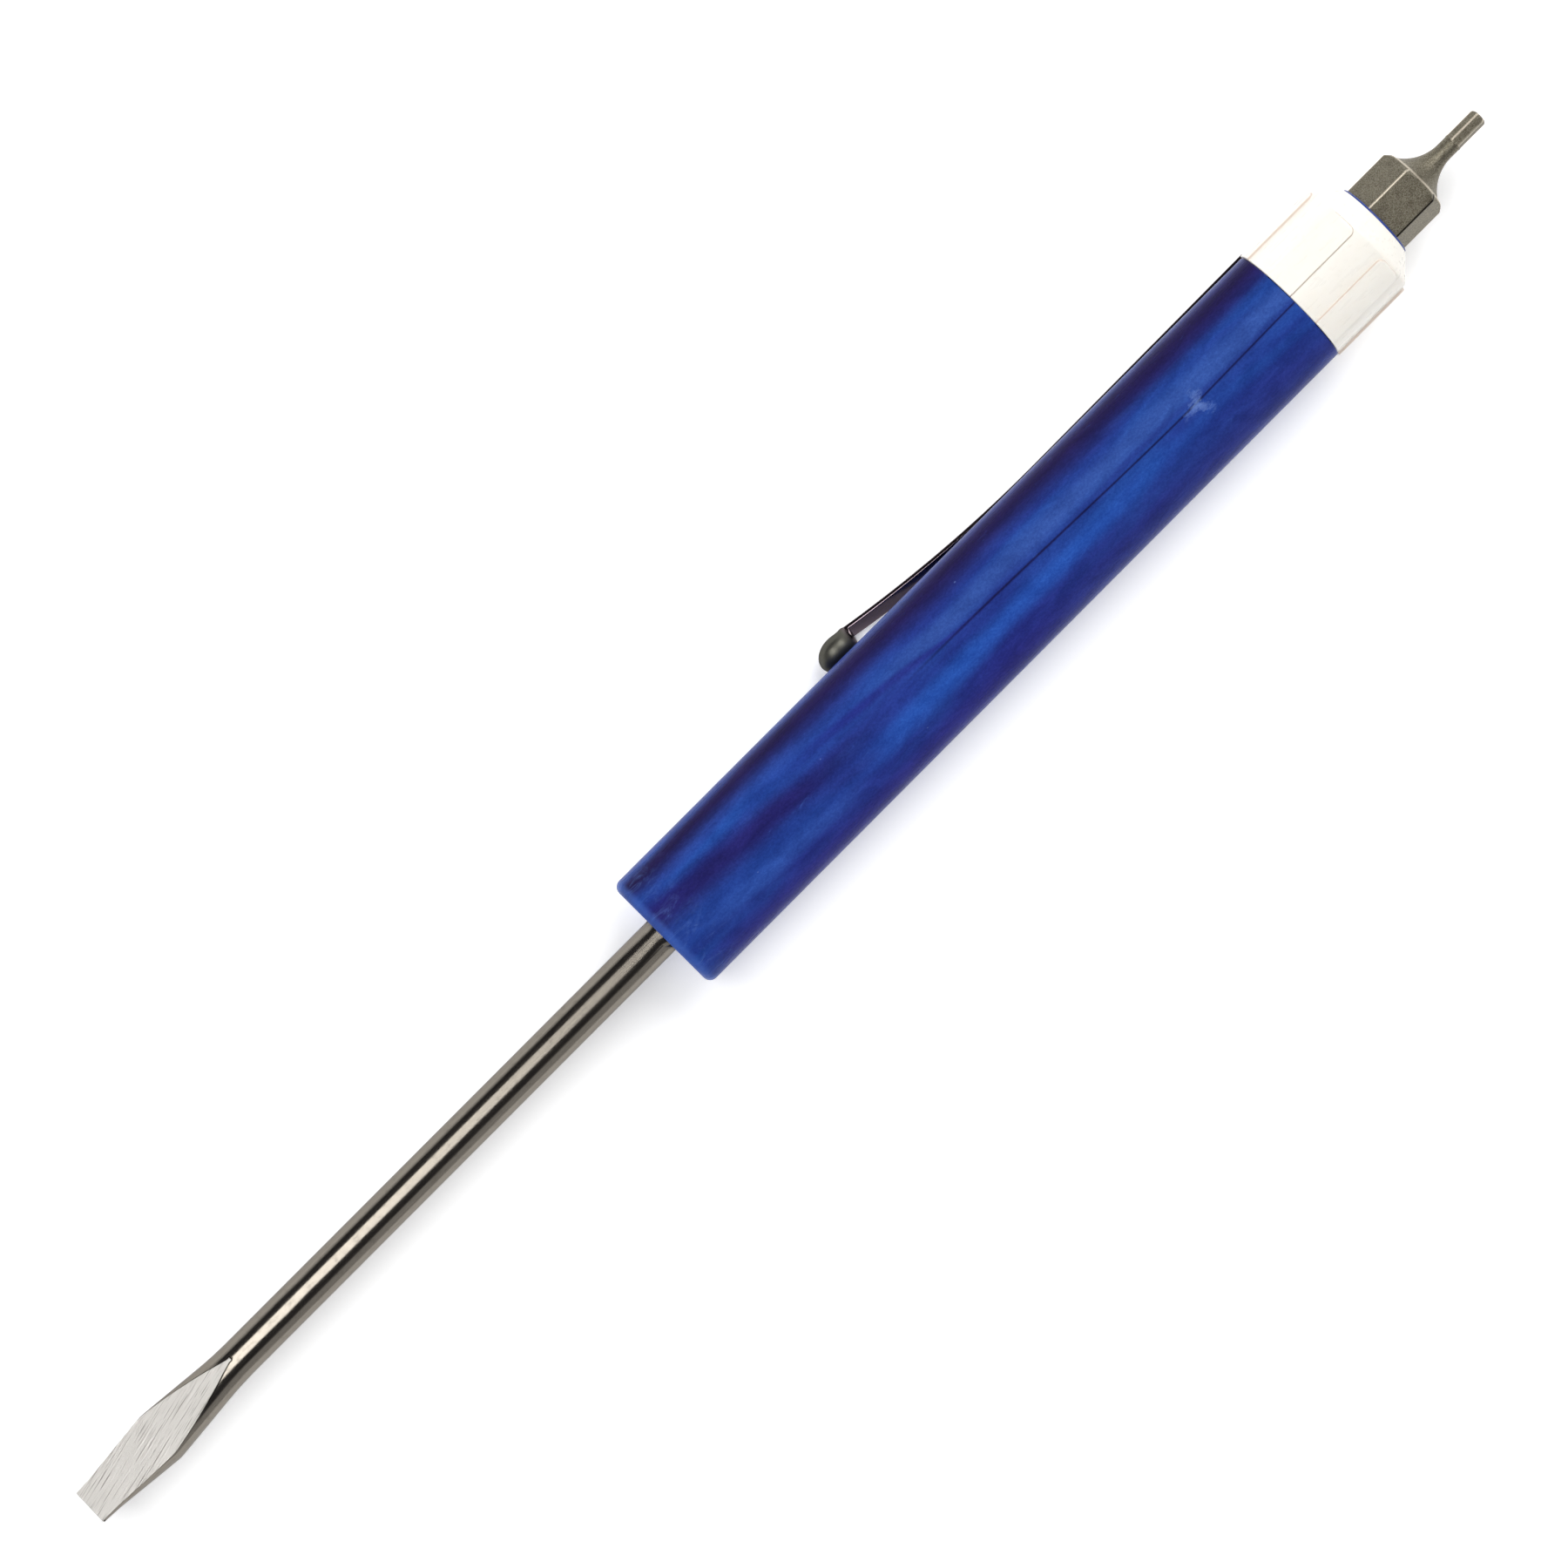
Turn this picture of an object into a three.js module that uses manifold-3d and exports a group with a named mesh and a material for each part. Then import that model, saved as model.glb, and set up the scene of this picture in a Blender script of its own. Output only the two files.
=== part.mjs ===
// A pocket screwdriver lying on a bench: a blue plastic barrel with a removable double-ended blade in its
// nose, a white collar with raised pads round a magnetic socket at the other end, a quarter-inch hex-key
// bit in that socket, and a sprung pocket clip whose ring is trapped under the collar.
//
// Units are millimetres and +Z is up. The tool's axis runs along X, with the slotted blade tip towards +X
// and the bit towards -X. Until the last step the nose face is at x = 0, and every piece is made with its key
// side up: the clip's arm, a pad of the collar, a corner of each hexagon, the flat of the blade.

import * as THREE from "three";
import { mergeVertices } from "three/addons/utils/BufferGeometryUtils.js";
import Module from "manifold-3d";

const wasm = await Module();
wasm.setup();

// ---- Driving dimensions ----

const CLEARANCE = 0.03; // between two pieces that fit one inside the other
const OVERSHOOT = 2; // how far a cutter runs past what it cuts

// Turns of the pieces about the tool's axis, in degrees from straight up towards -Y.
const BLADE_TURN = 20.6;
const HEX_TURN = 21.7;
const COLLAR_TURN = 22.3;
const CLIP_TURN = 124.8;

// Barrel: a long tube, a little wider at the nose than at the collar.
const BARREL_LENGTH = 78.6;
const BARREL_NOSE_RADIUS = 6.06;
const BARREL_TOP_RADIUS = 6.0;
const BARREL_NOSE_ROUND = 0.8;
const BARREL_TOP_ROUND = 0.15;
const BARREL_BORE_RADIUS = 2.4;

// Drive insert: the slotted bush in the nose that turns the blade.
const INSERT_RADIUS = 4.0;
const INSERT_LENGTH = 12;
const INSERT_RECESS = 0.3;
const INSERT_CHAMFER = 0.3;
const DRIVE_SLOT_DEPTH = 2.7;
const RING_GROOVE_RADIUS = 2.5;
const RING_GROOVE_WIDTH = 0.8;
const RING_GROOVE_PLACE = 7.5; // from the nose face to the middle of the groove

// Blade: round shaft, spade tip outside, cross tip inside, and two driving wings just inside the nose.
const SHAFT_RADIUS = 1.8;
const SHAFT_OUT = 71.2;
const WING_MIDDLE = 1.6; // from the nose face
const WING_LENGTH = 2.2;
const WING_SPAN = 5.0;
const WING_THICKNESS = 1.1;
const WING_CORNER = 0.35;
const TIP_HALF_WIDTH = 1.69;
const TIP_HALF_THICKNESS = 0.28;
const SPADE_HALF_WIDTH = 2.56;
const SPADE_SHOULDER = 8.8; // from the tip to the spade's widest place
const SPADE_SHOULDER_ROUND = 0.9;
const SPADE_FLARE_START = 17.2; // from the tip to where the round shaft starts to widen
const SPADE_FLAT_LENGTH = 18.2; // from the tip to where the flats run out on the shaft
const SPADE_BLEND_START = 0.72; // share of the flare's length at which its straight side ends
const SPADE_BLEND_END = 1.35; // share of the flare's length at which the round shaft starts
const CROSS_CONE_LENGTH = 2.6;
const CROSS_POINT_RADIUS = 0.45;
const CROSS_FLUTE_LENGTH = 6.0;
const CROSS_WEB = 0.38; // half the thickness left between two opposite flutes at the point
const CROSS_FLOOR_START = 0.23; // height at which the rising floor of a flute would start

// Spring ring that grips the blade.
const RING_WIRE_RADIUS = 0.28;
const RING_GAP_DEG = 50;

// Socket: the hex sleeve through the collar, with a pocket for the magnet and a guide for the blade's end.
const SOCKET_RADIUS = 4.5;
const SOCKET_MOUTH_RADIUS = 3.85;
const SOCKET_STEP_LENGTH = 2.4; // the thinner length at its mouth
const SOCKET_PROUD = 0.2; // how far it stands out of the collar
const SOCKET_LENGTH = 23.2;
const SOCKET_HEX_ACROSS_FLATS = 6.42;
const SOCKET_FLOOR = 0.75;
const SOCKET_GUIDE_RADIUS = 2.1;
const SOCKET_EDGE = 0.12; // chamfer round the mouth

// Bit: a standard 25 mm insert bit with a 1.5 mm hexagon key end.
const BIT_LENGTH = 25;
const BIT_STANDS_OUT = 13.3; // of the collar
const BIT_ACROSS_FLATS = 6.35;
const BIT_SHOULDER = 4.7; // from the collar's mouth to the end of the shank's corners
const BIT_CHAMFER = 0.57;
const BIT_BACK_CHAMFER = 0.5;
const BIT_CORNER_ROOM = 0.04; // how far the turned envelope clears the hexagon's corners
const BIT_COVE_RADIUS = 4.22;
const BIT_COVE_END = 4.15; // from the end of the shank's corners to the end of the cove
const BIT_NECK_RADIUS = 0.83;
const KEY_ACROSS_FLATS = 1.5;
const KEY_LENGTH = 3.5;
const KEY_END_ROUND = 0.45;
const KEY_ROOT = 0.6; // length of the key buried in the neck
const KEY_ROOT_RADIUS = 0.75;

// Magnet under the bit.
const MAGNET_RADIUS = 2.9;
const MAGNET_LENGTH = 1.5;
const MAGNET_CHAMFER = 0.2;

// Collar: six raised grip pads on a plain ring, with a wide chamfer at its mouth.
const COLLAR_LENGTH = 10.5;
const COLLAR_PAD_RADIUS = 6.2;
const COLLAR_RING_RADIUS = 5.92;
const COLLAR_PADS = 6;
const COLLAR_PAD_WIDTH = 3.2;
const COLLAR_PAD_LENGTH = 8.3;
const COLLAR_PAD_CORNER = 0.7;
const COLLAR_CHAMFER = 2.25; // from the pads' radius
const COLLAR_CHAMFER_ROUND = 0.5;
const COLLAR_MOUTH_RADIUS = 3.9;

// Clip: a flat ring round the socket, and an arm that lies along the barrel and bows out to a ball end.
const CLIP_THICKNESS = 0.4;
const CLIP_RING_RADIUS = 5.5;
const CLIP_LIFT = 0.08; // between the barrel and the arm that lies along it
const CLIP_JOINT_GAP = 0.08; // between the ring's tab and the arm, where the strip bends
const CLIP_TAB_OVERLAP = 0.5; // how far outside the socket the tab starts
const CLIP_NOTCH_ROOM = 0.09; // on each side of the arm in the collar's notch
const CLIP_BOW_START = 25.3; // from the barrel's end to where the arm leaves the barrel
const CLIP_BALL_PLACE = 49.7; // from the barrel's end to the middle of the ball
const CLIP_BOW_HEIGHT = 2.65; // of the arm at the ball, above the arm that lies on the barrel
const CLIP_ROOT_WIDTH = 2.9;
const CLIP_MIDDLE_WIDTH = 2.4;
const CLIP_NECK_WIDTH = 1.7;
const CLIP_BALL_HALF_LENGTH = 2.07;
const CLIP_BALL_HALF_WIDTH = 1.8;
const CLIP_BALL_HALF_HEIGHT = 1.4;

const AROUND = 64; // sides of a large round piece
const AROUND_SMALL = 40; // sides of a small round piece
const AROUND_BIT = 48; // sides of the bit's turned envelope
const AROUND_KEY = 24; // sides of the key's turned envelope
const CURVE_STEPS = 8; // pieces of a large curve
const ROUND_STEPS = 4; // pieces of a small edge round
const BOW_STEPS = 14; // pieces of the clip's bow
const WIRE_STEPS = 36; // pieces of the spring ring's length
const BALL_SIDES = 24;
const BALL_ROWS = 16;

// ---- Worked out from the driving dimensions ----

const HEX_CORNER = 1 / Math.cos(Math.PI / 6); // radius to a corner, per unit of half the width across flats
const COLLAR_BACK = BARREL_LENGTH + CLEARANCE;
const COLLAR_MOUTH = BARREL_LENGTH + COLLAR_LENGTH;
const SOCKET_MOUTH = COLLAR_MOUTH + SOCKET_PROUD;
const SOCKET_STEP = SOCKET_MOUTH - SOCKET_STEP_LENGTH;
const SOCKET_BACK = SOCKET_MOUTH - SOCKET_LENGTH;
const BIT_POINT = COLLAR_MOUTH + BIT_STANDS_OUT;
const BIT_BACK = BIT_POINT - BIT_LENGTH;
const MAGNET_FRONT = BIT_BACK - CLEARANCE;
const MAGNET_BACK = MAGNET_FRONT - MAGNET_LENGTH;
const MAGNET_POCKET_BACK = MAGNET_BACK - CLEARANCE;
const GUIDE_END = MAGNET_POCKET_BACK - SOCKET_FLOOR;
const BLADE_BACK = SHAFT_OUT + 2 * WING_MIDDLE; // both ends of the blade stand out of the nose alike
const CLIP_UNDERSIDE = BARREL_NOSE_RADIUS + CLIP_LIFT;

// A shape drawn in X and Y and extruded along Z turns to a shape drawn in Y and Z and extruded along X.
const DRAWN_TO_ALONG_X = new THREE.Matrix4().makeBasis(
  new THREE.Vector3(0, 1, 0),
  new THREE.Vector3(0, 0, 1),
  new THREE.Vector3(1, 0, 0),
);

// ---- Solids ----

const { degToRad, radToDeg, lerp } = THREE.MathUtils;

/** A closed geometry as a manifold solid. */
function solid(geometry) {
  const bare = geometry.index ? geometry.toNonIndexed() : geometry.clone();
  bare.deleteAttribute("normal");
  bare.deleteAttribute("uv");
  const merged = mergeVertices(bare, 1e-4);
  const mesh = new wasm.Mesh({
    numProp: 3,
    vertProperties: merged.attributes.position.array,
    triVerts: new Uint32Array(merged.index.array),
  });
  return new wasm.Manifold(mesh);
}

/** A manifold solid as a flat-shaded geometry. */
function geometryOf(body) {
  const mesh = body.getMesh();
  const geometry = new THREE.BufferGeometry();
  geometry.setAttribute("position", new THREE.BufferAttribute(mesh.vertProperties, 3));
  geometry.setIndex(new THREE.BufferAttribute(mesh.triVerts, 1));
  const flat = geometry.toNonIndexed();
  flat.computeVertexNormals();
  return flat;
}

/**
 * A solid turned about the tool's axis. Each profile point is [distance behind the nose face, radius], and
 * the profile runs anticlockwise round the material, seen with distance to the right and radius up.
 */
function turned(profile, sides = AROUND) {
  const points = profile.map(([behind, radius]) => new THREE.Vector2(radius, -behind));
  const lathe = new THREE.LatheGeometry(points, sides);
  lathe.rotateZ(-Math.PI / 2);
  return solid(lathe);
}

/** A shape drawn in X and Z, pushed through its middle plane along Y. */
function acrossY(shape, width) {
  const settings = { depth: width, bevelEnabled: false, curveSegments: CURVE_STEPS };
  const slab = new THREE.ExtrudeGeometry(shape, settings);
  slab.translate(0, 0, -width / 2);
  slab.rotateX(Math.PI / 2);
  return solid(slab);
}

/** A shape drawn in X and Y, pushed up along Z from a height. */
function upwards(shape, height, depth) {
  const settings = { depth, bevelEnabled: false, curveSegments: CURVE_STEPS };
  const slab = new THREE.ExtrudeGeometry(shape, settings);
  slab.translate(0, 0, height);
  return solid(slab);
}

/** A shape drawn in Y and Z, pushed along the axis between two distances behind the nose face. */
function alongX(shape, from, to) {
  const bar = new THREE.ExtrudeGeometry(shape, { depth: to - from, bevelEnabled: false });
  bar.applyMatrix4(DRAWN_TO_ALONG_X);
  bar.translate(-to, 0, 0);
  return solid(bar);
}

/** A hexagonal bar along the axis with one corner straight up. */
function hexBar(acrossFlats, from, to) {
  const radius = (acrossFlats / 2) * HEX_CORNER;
  const corners = Array.from({ length: 6 }, (_, corner) => {
    const angle = degToRad(90 + 60 * corner);
    return [radius * Math.cos(angle), radius * Math.sin(angle)];
  });
  return alongX(outline(corners), from, to);
}

/** A block between two distances behind the nose face, centred over the axis between two heights. */
function block(from, to, width, low, high) {
  const box = new THREE.BoxGeometry(to - from, width, high - low);
  box.translate(-(from + to) / 2, 0, (low + high) / 2);
  return solid(box);
}

/** A closed shape from its corner points. */
function outline(points) {
  return new THREE.Shape(points.map(([x, y]) => new THREE.Vector2(x, y)));
}

/** A rectangle with round corners, centred at a place along X. */
function roundedRectangle(middle, length, width, corner) {
  const x = length / 2 - corner;
  const y = width / 2 - corner;
  const shape = new THREE.Shape();
  shape.absarc(middle + x, -y, corner, -Math.PI / 2, 0);
  shape.absarc(middle + x, y, corner, 0, Math.PI / 2);
  shape.absarc(middle - x, y, corner, Math.PI / 2, Math.PI);
  shape.absarc(middle - x, -y, corner, Math.PI, (3 * Math.PI) / 2);
  return shape;
}

/** Profile points along an arc, from one angle to another in degrees. */
function arc(behind, radius, round, from, to, steps) {
  const points = [];
  for (let step = 0; step <= steps; step++) {
    const angle = degToRad(lerp(from, to, step / steps));
    points.push([behind + round * Math.cos(angle), radius + round * Math.sin(angle)]);
  }
  return points;
}

/** A solid turned about the tool's axis. */
function roll(body, angle) {
  return body.rotate([angle, 0, 0]);
}

// ---- Pieces ----

/** The blue barrel: open at both ends for the insert and the socket, with a bore between for the blade. */
function barrel() {
  const insertSeat = INSERT_RADIUS + CLEARANCE;
  const insertEnd = INSERT_RECESS + INSERT_LENGTH + CLEARANCE;
  const socketSeat = SOCKET_RADIUS + CLEARANCE;
  const socketEnd = SOCKET_BACK - CLEARANCE;
  const noseRound = BARREL_NOSE_RADIUS - BARREL_NOSE_ROUND;
  const nose = arc(BARREL_NOSE_ROUND, noseRound, BARREL_NOSE_ROUND, 180, 90, CURVE_STEPS);
  return turned([
    [0, insertSeat],
    [insertEnd, insertSeat],
    [insertEnd, BARREL_BORE_RADIUS],
    [socketEnd, BARREL_BORE_RADIUS],
    [socketEnd, socketSeat],
    [BARREL_LENGTH, socketSeat],
    [BARREL_LENGTH, BARREL_TOP_RADIUS - BARREL_TOP_ROUND],
    [BARREL_LENGTH - BARREL_TOP_ROUND, BARREL_TOP_RADIUS],
    ...nose.reverse(),
    [0, insertSeat],
  ]);
}

/** The bush in the nose: a hole for the shaft, a slot for its wings and a groove for the spring ring. */
function driveInsert() {
  const front = INSERT_RECESS;
  const back = INSERT_RECESS + INSERT_LENGTH;
  const hole = SHAFT_RADIUS + CLEARANCE;
  const grooveStart = RING_GROOVE_PLACE - RING_GROOVE_WIDTH / 2;
  const grooveEnd = RING_GROOVE_PLACE + RING_GROOVE_WIDTH / 2;
  const bush = turned(
    [
      [front, hole],
      [grooveStart, hole],
      [grooveStart, RING_GROOVE_RADIUS],
      [grooveEnd, RING_GROOVE_RADIUS],
      [grooveEnd, hole],
      [back, hole],
      [back, INSERT_RADIUS - INSERT_CHAMFER],
      [back - INSERT_CHAMFER, INSERT_RADIUS],
      [front + INSERT_CHAMFER, INSERT_RADIUS],
      [front, INSERT_RADIUS - INSERT_CHAMFER],
      [front, hole],
    ],
    AROUND_SMALL,
  );
  const slotHalfHeight = WING_THICKNESS / 2 + 2 * CLEARANCE;
  const slotWidth = WING_SPAN + 4 * CLEARANCE;
  const slotEnd = INSERT_RECESS + DRIVE_SLOT_DEPTH;
  return bush.subtract(block(-OVERSHOOT, slotEnd, slotWidth, -slotHalfHeight, slotHalfHeight));
}

/** The open ring of spring wire that grips the shaft inside the insert. */
function springRing() {
  const radius = SHAFT_RADIUS + CLEARANCE + RING_WIRE_RADIUS;
  const half = degToRad(180 - RING_GAP_DEG / 2);
  const path = new THREE.CatmullRomCurve3(
    Array.from({ length: WIRE_STEPS + 1 }, (_, step) => {
      const angle = lerp(-half, half, step / WIRE_STEPS);
      return new THREE.Vector3(-RING_GROOVE_PLACE, radius * Math.sin(angle), radius * Math.cos(angle));
    }),
  );
  const wire = new THREE.Shape().absarc(0, 0, RING_WIRE_RADIUS, 0, 2 * Math.PI);
  const settings = { extrudePath: path, steps: WIRE_STEPS, curveSegments: ROUND_STEPS };
  return solid(new THREE.ExtrudeGeometry(wire, settings));
}

/** The shaft's outline from the spade tip back: the spade widens, then narrows into the round shaft. */
function spadeProfile() {
  const tip = -SHAFT_OUT;
  const shoulder = tip + SPADE_SHOULDER;
  const rise = (SPADE_HALF_WIDTH - TIP_HALF_WIDTH) / SPADE_SHOULDER;
  const flare = SPADE_FLARE_START - SPADE_SHOULDER;
  const fall = (SPADE_HALF_WIDTH - SHAFT_RADIUS) / flare;
  const straight = flare * SPADE_BLEND_START;
  const round = SPADE_SHOULDER_ROUND;
  const crown = new THREE.QuadraticBezierCurve(
    new THREE.Vector2(shoulder - round, SPADE_HALF_WIDTH - rise * round),
    new THREE.Vector2(shoulder, SPADE_HALF_WIDTH),
    new THREE.Vector2(shoulder + round, SPADE_HALF_WIDTH - fall * round),
  );
  const blend = new THREE.QuadraticBezierCurve(
    new THREE.Vector2(shoulder + straight, SPADE_HALF_WIDTH - fall * straight),
    new THREE.Vector2(shoulder + flare, SHAFT_RADIUS),
    new THREE.Vector2(shoulder + flare * SPADE_BLEND_END, SHAFT_RADIUS),
  );
  const curves = [crown, blend].flatMap((curve) => curve.getPoints(CURVE_STEPS));
  return [[tip, 0], [tip, TIP_HALF_WIDTH], ...curves.map((point) => [point.x, point.y])];
}

/** The space between the two flats of the spade tip, which opens out behind it to clear the whole shaft. */
function spadeWedge() {
  const open = 5;
  const rise = (SHAFT_RADIUS - TIP_HALF_THICKNESS) / SPADE_FLAT_LENGTH;
  const length = (open - TIP_HALF_THICKNESS) / rise;
  const end = -BLADE_BACK - OVERSHOOT;
  const halfTip = TIP_HALF_THICKNESS - rise * OVERSHOOT;
  const tip = SHAFT_OUT + OVERSHOOT;
  const side = outline([
    [tip, -halfTip],
    [tip, halfTip],
    [SHAFT_OUT - length, open],
    [end, open],
    [end, -open],
    [SHAFT_OUT - length, -open],
  ]);
  return acrossY(side, 2 * open);
}

/** The upper one of the cross tip's four flutes: a V groove whose floor rises to the shaft's surface. */
function crossFlute() {
  const back = BLADE_BACK + OVERSHOOT;
  const front = BLADE_BACK - CROSS_FLUTE_LENGTH;
  const top = 2 * SHAFT_RADIUS;
  const groove = outline([
    [0, CROSS_WEB],
    [top - CROSS_WEB, top],
    [CROSS_WEB - top, top],
  ]);
  const above = outline([
    [-back, CROSS_FLOOR_START],
    [-front, SHAFT_RADIUS + CLEARANCE],
    [-front, top],
    [-back, top],
  ]);
  return alongX(groove, front, back).intersect(acrossY(above, 2 * top));
}

/** The double-ended blade. */
function blade() {
  const bar = turned(
    [
      ...spadeProfile(),
      [BLADE_BACK - CROSS_CONE_LENGTH, SHAFT_RADIUS],
      [BLADE_BACK, CROSS_POINT_RADIUS],
      [BLADE_BACK, 0],
    ].reverse(),
    AROUND_SMALL,
  );
  const wingShape = roundedRectangle(-WING_MIDDLE, WING_LENGTH, WING_SPAN, WING_CORNER);
  let body = bar.intersect(spadeWedge());
  body = body.add(upwards(wingShape, -WING_THICKNESS / 2, WING_THICKNESS));
  for (let flute = 0; flute < 4; flute++) {
    body = body.subtract(roll(crossFlute(), 90 * flute));
  }
  return body;
}

/** The socket sleeve: a hexagon for the bit, a pocket for the magnet, a floor, and a guide for the blade. */
function bitSocket() {
  const sleeve = turned([
    [SOCKET_BACK, SOCKET_GUIDE_RADIUS],
    [GUIDE_END, SOCKET_GUIDE_RADIUS],
    [GUIDE_END, 0],
    [MAGNET_POCKET_BACK, 0],
    [MAGNET_POCKET_BACK, MAGNET_RADIUS + CLEARANCE],
    [SOCKET_MOUTH, MAGNET_RADIUS + CLEARANCE],
    [SOCKET_MOUTH, SOCKET_MOUTH_RADIUS - SOCKET_EDGE],
    [SOCKET_MOUTH - SOCKET_EDGE, SOCKET_MOUTH_RADIUS],
    [SOCKET_STEP, SOCKET_MOUTH_RADIUS],
    [SOCKET_STEP, SOCKET_RADIUS],
    [SOCKET_BACK, SOCKET_RADIUS],
    [SOCKET_BACK, SOCKET_GUIDE_RADIUS],
  ]);
  const hexStart = BIT_BACK - CLEARANCE;
  return sleeve.subtract(hexBar(SOCKET_HEX_ACROSS_FLATS, hexStart, SOCKET_MOUTH + OVERSHOOT));
}

/** The disc magnet under the bit. */
function magnet() {
  return turned(
    [
      [MAGNET_BACK, 0],
      [MAGNET_FRONT, 0],
      [MAGNET_FRONT, MAGNET_RADIUS - MAGNET_CHAMFER],
      [MAGNET_FRONT - MAGNET_CHAMFER, MAGNET_RADIUS],
      [MAGNET_BACK + MAGNET_CHAMFER, MAGNET_RADIUS],
      [MAGNET_BACK, MAGNET_RADIUS - MAGNET_CHAMFER],
      [MAGNET_BACK, 0],
    ],
    AROUND_SMALL,
  );
}

/** What is cut away round the collar, so that six pads with round front corners are left. */
function collarCutter() {
  const back = BARREL_LENGTH - OVERSHOOT;
  const front = COLLAR_MOUTH + OVERSHOOT;
  const outside = COLLAR_PAD_RADIUS + OVERSHOOT;
  let cutter = turned([
    [back, COLLAR_RING_RADIUS],
    [front, COLLAR_RING_RADIUS],
    [front, outside],
    [back, outside],
    [back, COLLAR_RING_RADIUS],
  ]);
  const padStart = back - OVERSHOOT;
  const padEnd = BARREL_LENGTH + COLLAR_PAD_LENGTH;
  const shape = roundedRectangle(
    -(padStart + padEnd) / 2,
    padEnd - padStart,
    COLLAR_PAD_WIDTH,
    COLLAR_PAD_CORNER,
  );
  const pad = upwards(shape, 0, outside + OVERSHOOT);
  for (let index = 0; index < COLLAR_PADS; index++) {
    cutter = cutter.subtract(roll(pad, (360 / COLLAR_PADS) * index));
  }
  return cutter;
}

/** The white collar, with a seat and a notch at its back for the clip's ring and tab. */
function collar() {
  const mouthLip = COLLAR_PAD_RADIUS - COLLAR_CHAMFER;
  const chamferStart = COLLAR_MOUTH - COLLAR_CHAMFER;
  const roundStart = chamferStart - COLLAR_CHAMFER_ROUND * Math.tan(Math.PI / 8);
  const roundRadius = COLLAR_PAD_RADIUS - COLLAR_CHAMFER_ROUND;
  const round = arc(roundStart, roundRadius, COLLAR_CHAMFER_ROUND, 90, 45, ROUND_STEPS);
  const ringSeat = COLLAR_BACK + CLIP_THICKNESS + CLEARANCE;
  const step = SOCKET_STEP + CLEARANCE;
  const body = turned([
    [COLLAR_BACK, CLIP_RING_RADIUS + CLEARANCE],
    [ringSeat, CLIP_RING_RADIUS + CLEARANCE],
    [ringSeat, SOCKET_RADIUS + CLEARANCE],
    [step, SOCKET_RADIUS + CLEARANCE],
    [step, COLLAR_MOUTH_RADIUS],
    [COLLAR_MOUTH, COLLAR_MOUTH_RADIUS],
    [COLLAR_MOUTH, mouthLip],
    ...round.reverse(),
    [COLLAR_BACK, COLLAR_PAD_RADIUS],
    [COLLAR_BACK, CLIP_RING_RADIUS + CLEARANCE],
  ]);
  const notchWidth = CLIP_ROOT_WIDTH + 2 * CLIP_NOTCH_ROOM;
  const notchEnd = ringSeat + CLIP_JOINT_GAP;
  const notchLow = SOCKET_RADIUS + CLIP_TAB_OVERLAP;
  const notchTop = COLLAR_PAD_RADIUS + OVERSHOOT;
  const notch = block(BARREL_LENGTH - OVERSHOOT, notchEnd, notchWidth, notchLow, notchTop);
  return body.subtract(collarCutter()).subtract(roll(notch, CLIP_TURN - COLLAR_TURN));
}

/** The clip's flat ring, trapped between the barrel and the collar, with a tab that reaches the notch. */
function clipRing() {
  const back = COLLAR_BACK;
  const front = COLLAR_BACK + CLIP_THICKNESS;
  const hole = SOCKET_RADIUS + CLEARANCE;
  const ring = turned([
    [back, hole],
    [front, hole],
    [front, CLIP_RING_RADIUS],
    [back, CLIP_RING_RADIUS],
    [back, hole],
  ]);
  const reach = CLIP_UNDERSIDE - CLIP_JOINT_GAP;
  return ring.add(block(back, front, CLIP_ROOT_WIDTH, SOCKET_RADIUS + CLIP_TAB_OVERLAP, reach));
}

/** How far the underside of the clip's arm is from the tool's axis, at a place behind the barrel's end. */
function armHeight(place) {
  const along = Math.max(0, place - CLIP_BOW_START) / (CLIP_BALL_PLACE - CLIP_BOW_START);
  return CLIP_UNDERSIDE + CLIP_BOW_HEIGHT * along * along;
}

/** The clip's arm and ball end. */
function clipArm() {
  const end = -BARREL_LENGTH;
  const rootFace = end - CLEARANCE - CLIP_THICKNESS;
  const under = [[rootFace, CLIP_UNDERSIDE]];
  for (let step = 0; step <= BOW_STEPS; step++) {
    const place = lerp(CLIP_BOW_START, CLIP_BALL_PLACE, step / BOW_STEPS);
    under.push([end + place, armHeight(place)]);
  }
  const over = under.map(([x, height]) => [x, height + CLIP_THICKNESS]);
  const side = outline([...under, ...over.reverse()]);
  const strip = acrossY(side, 2 * CLIP_ROOT_WIDTH);
  const bow = end + CLIP_BOW_START;
  const neck = end + CLIP_BALL_PLACE;
  const plan = outline([
    [rootFace, -CLIP_ROOT_WIDTH / 2],
    [bow, -CLIP_MIDDLE_WIDTH / 2],
    [neck, -CLIP_NECK_WIDTH / 2],
    [neck, CLIP_NECK_WIDTH / 2],
    [bow, CLIP_MIDDLE_WIDTH / 2],
    [rootFace, CLIP_ROOT_WIDTH / 2],
  ]);
  const arm = strip.intersect(upwards(plan, 0, 4 * BARREL_NOSE_RADIUS));
  const ball = new THREE.SphereGeometry(1, BALL_SIDES, BALL_ROWS);
  ball.scale(CLIP_BALL_HALF_LENGTH, CLIP_BALL_HALF_WIDTH, CLIP_BALL_HALF_HEIGHT);
  const ballHeight = CLIP_UNDERSIDE + CLIP_BOW_HEIGHT + CLIP_THICKNESS - CLIP_BALL_HALF_HEIGHT;
  ball.translate(neck, 0, ballHeight);
  return arm.add(solid(ball));
}

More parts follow.
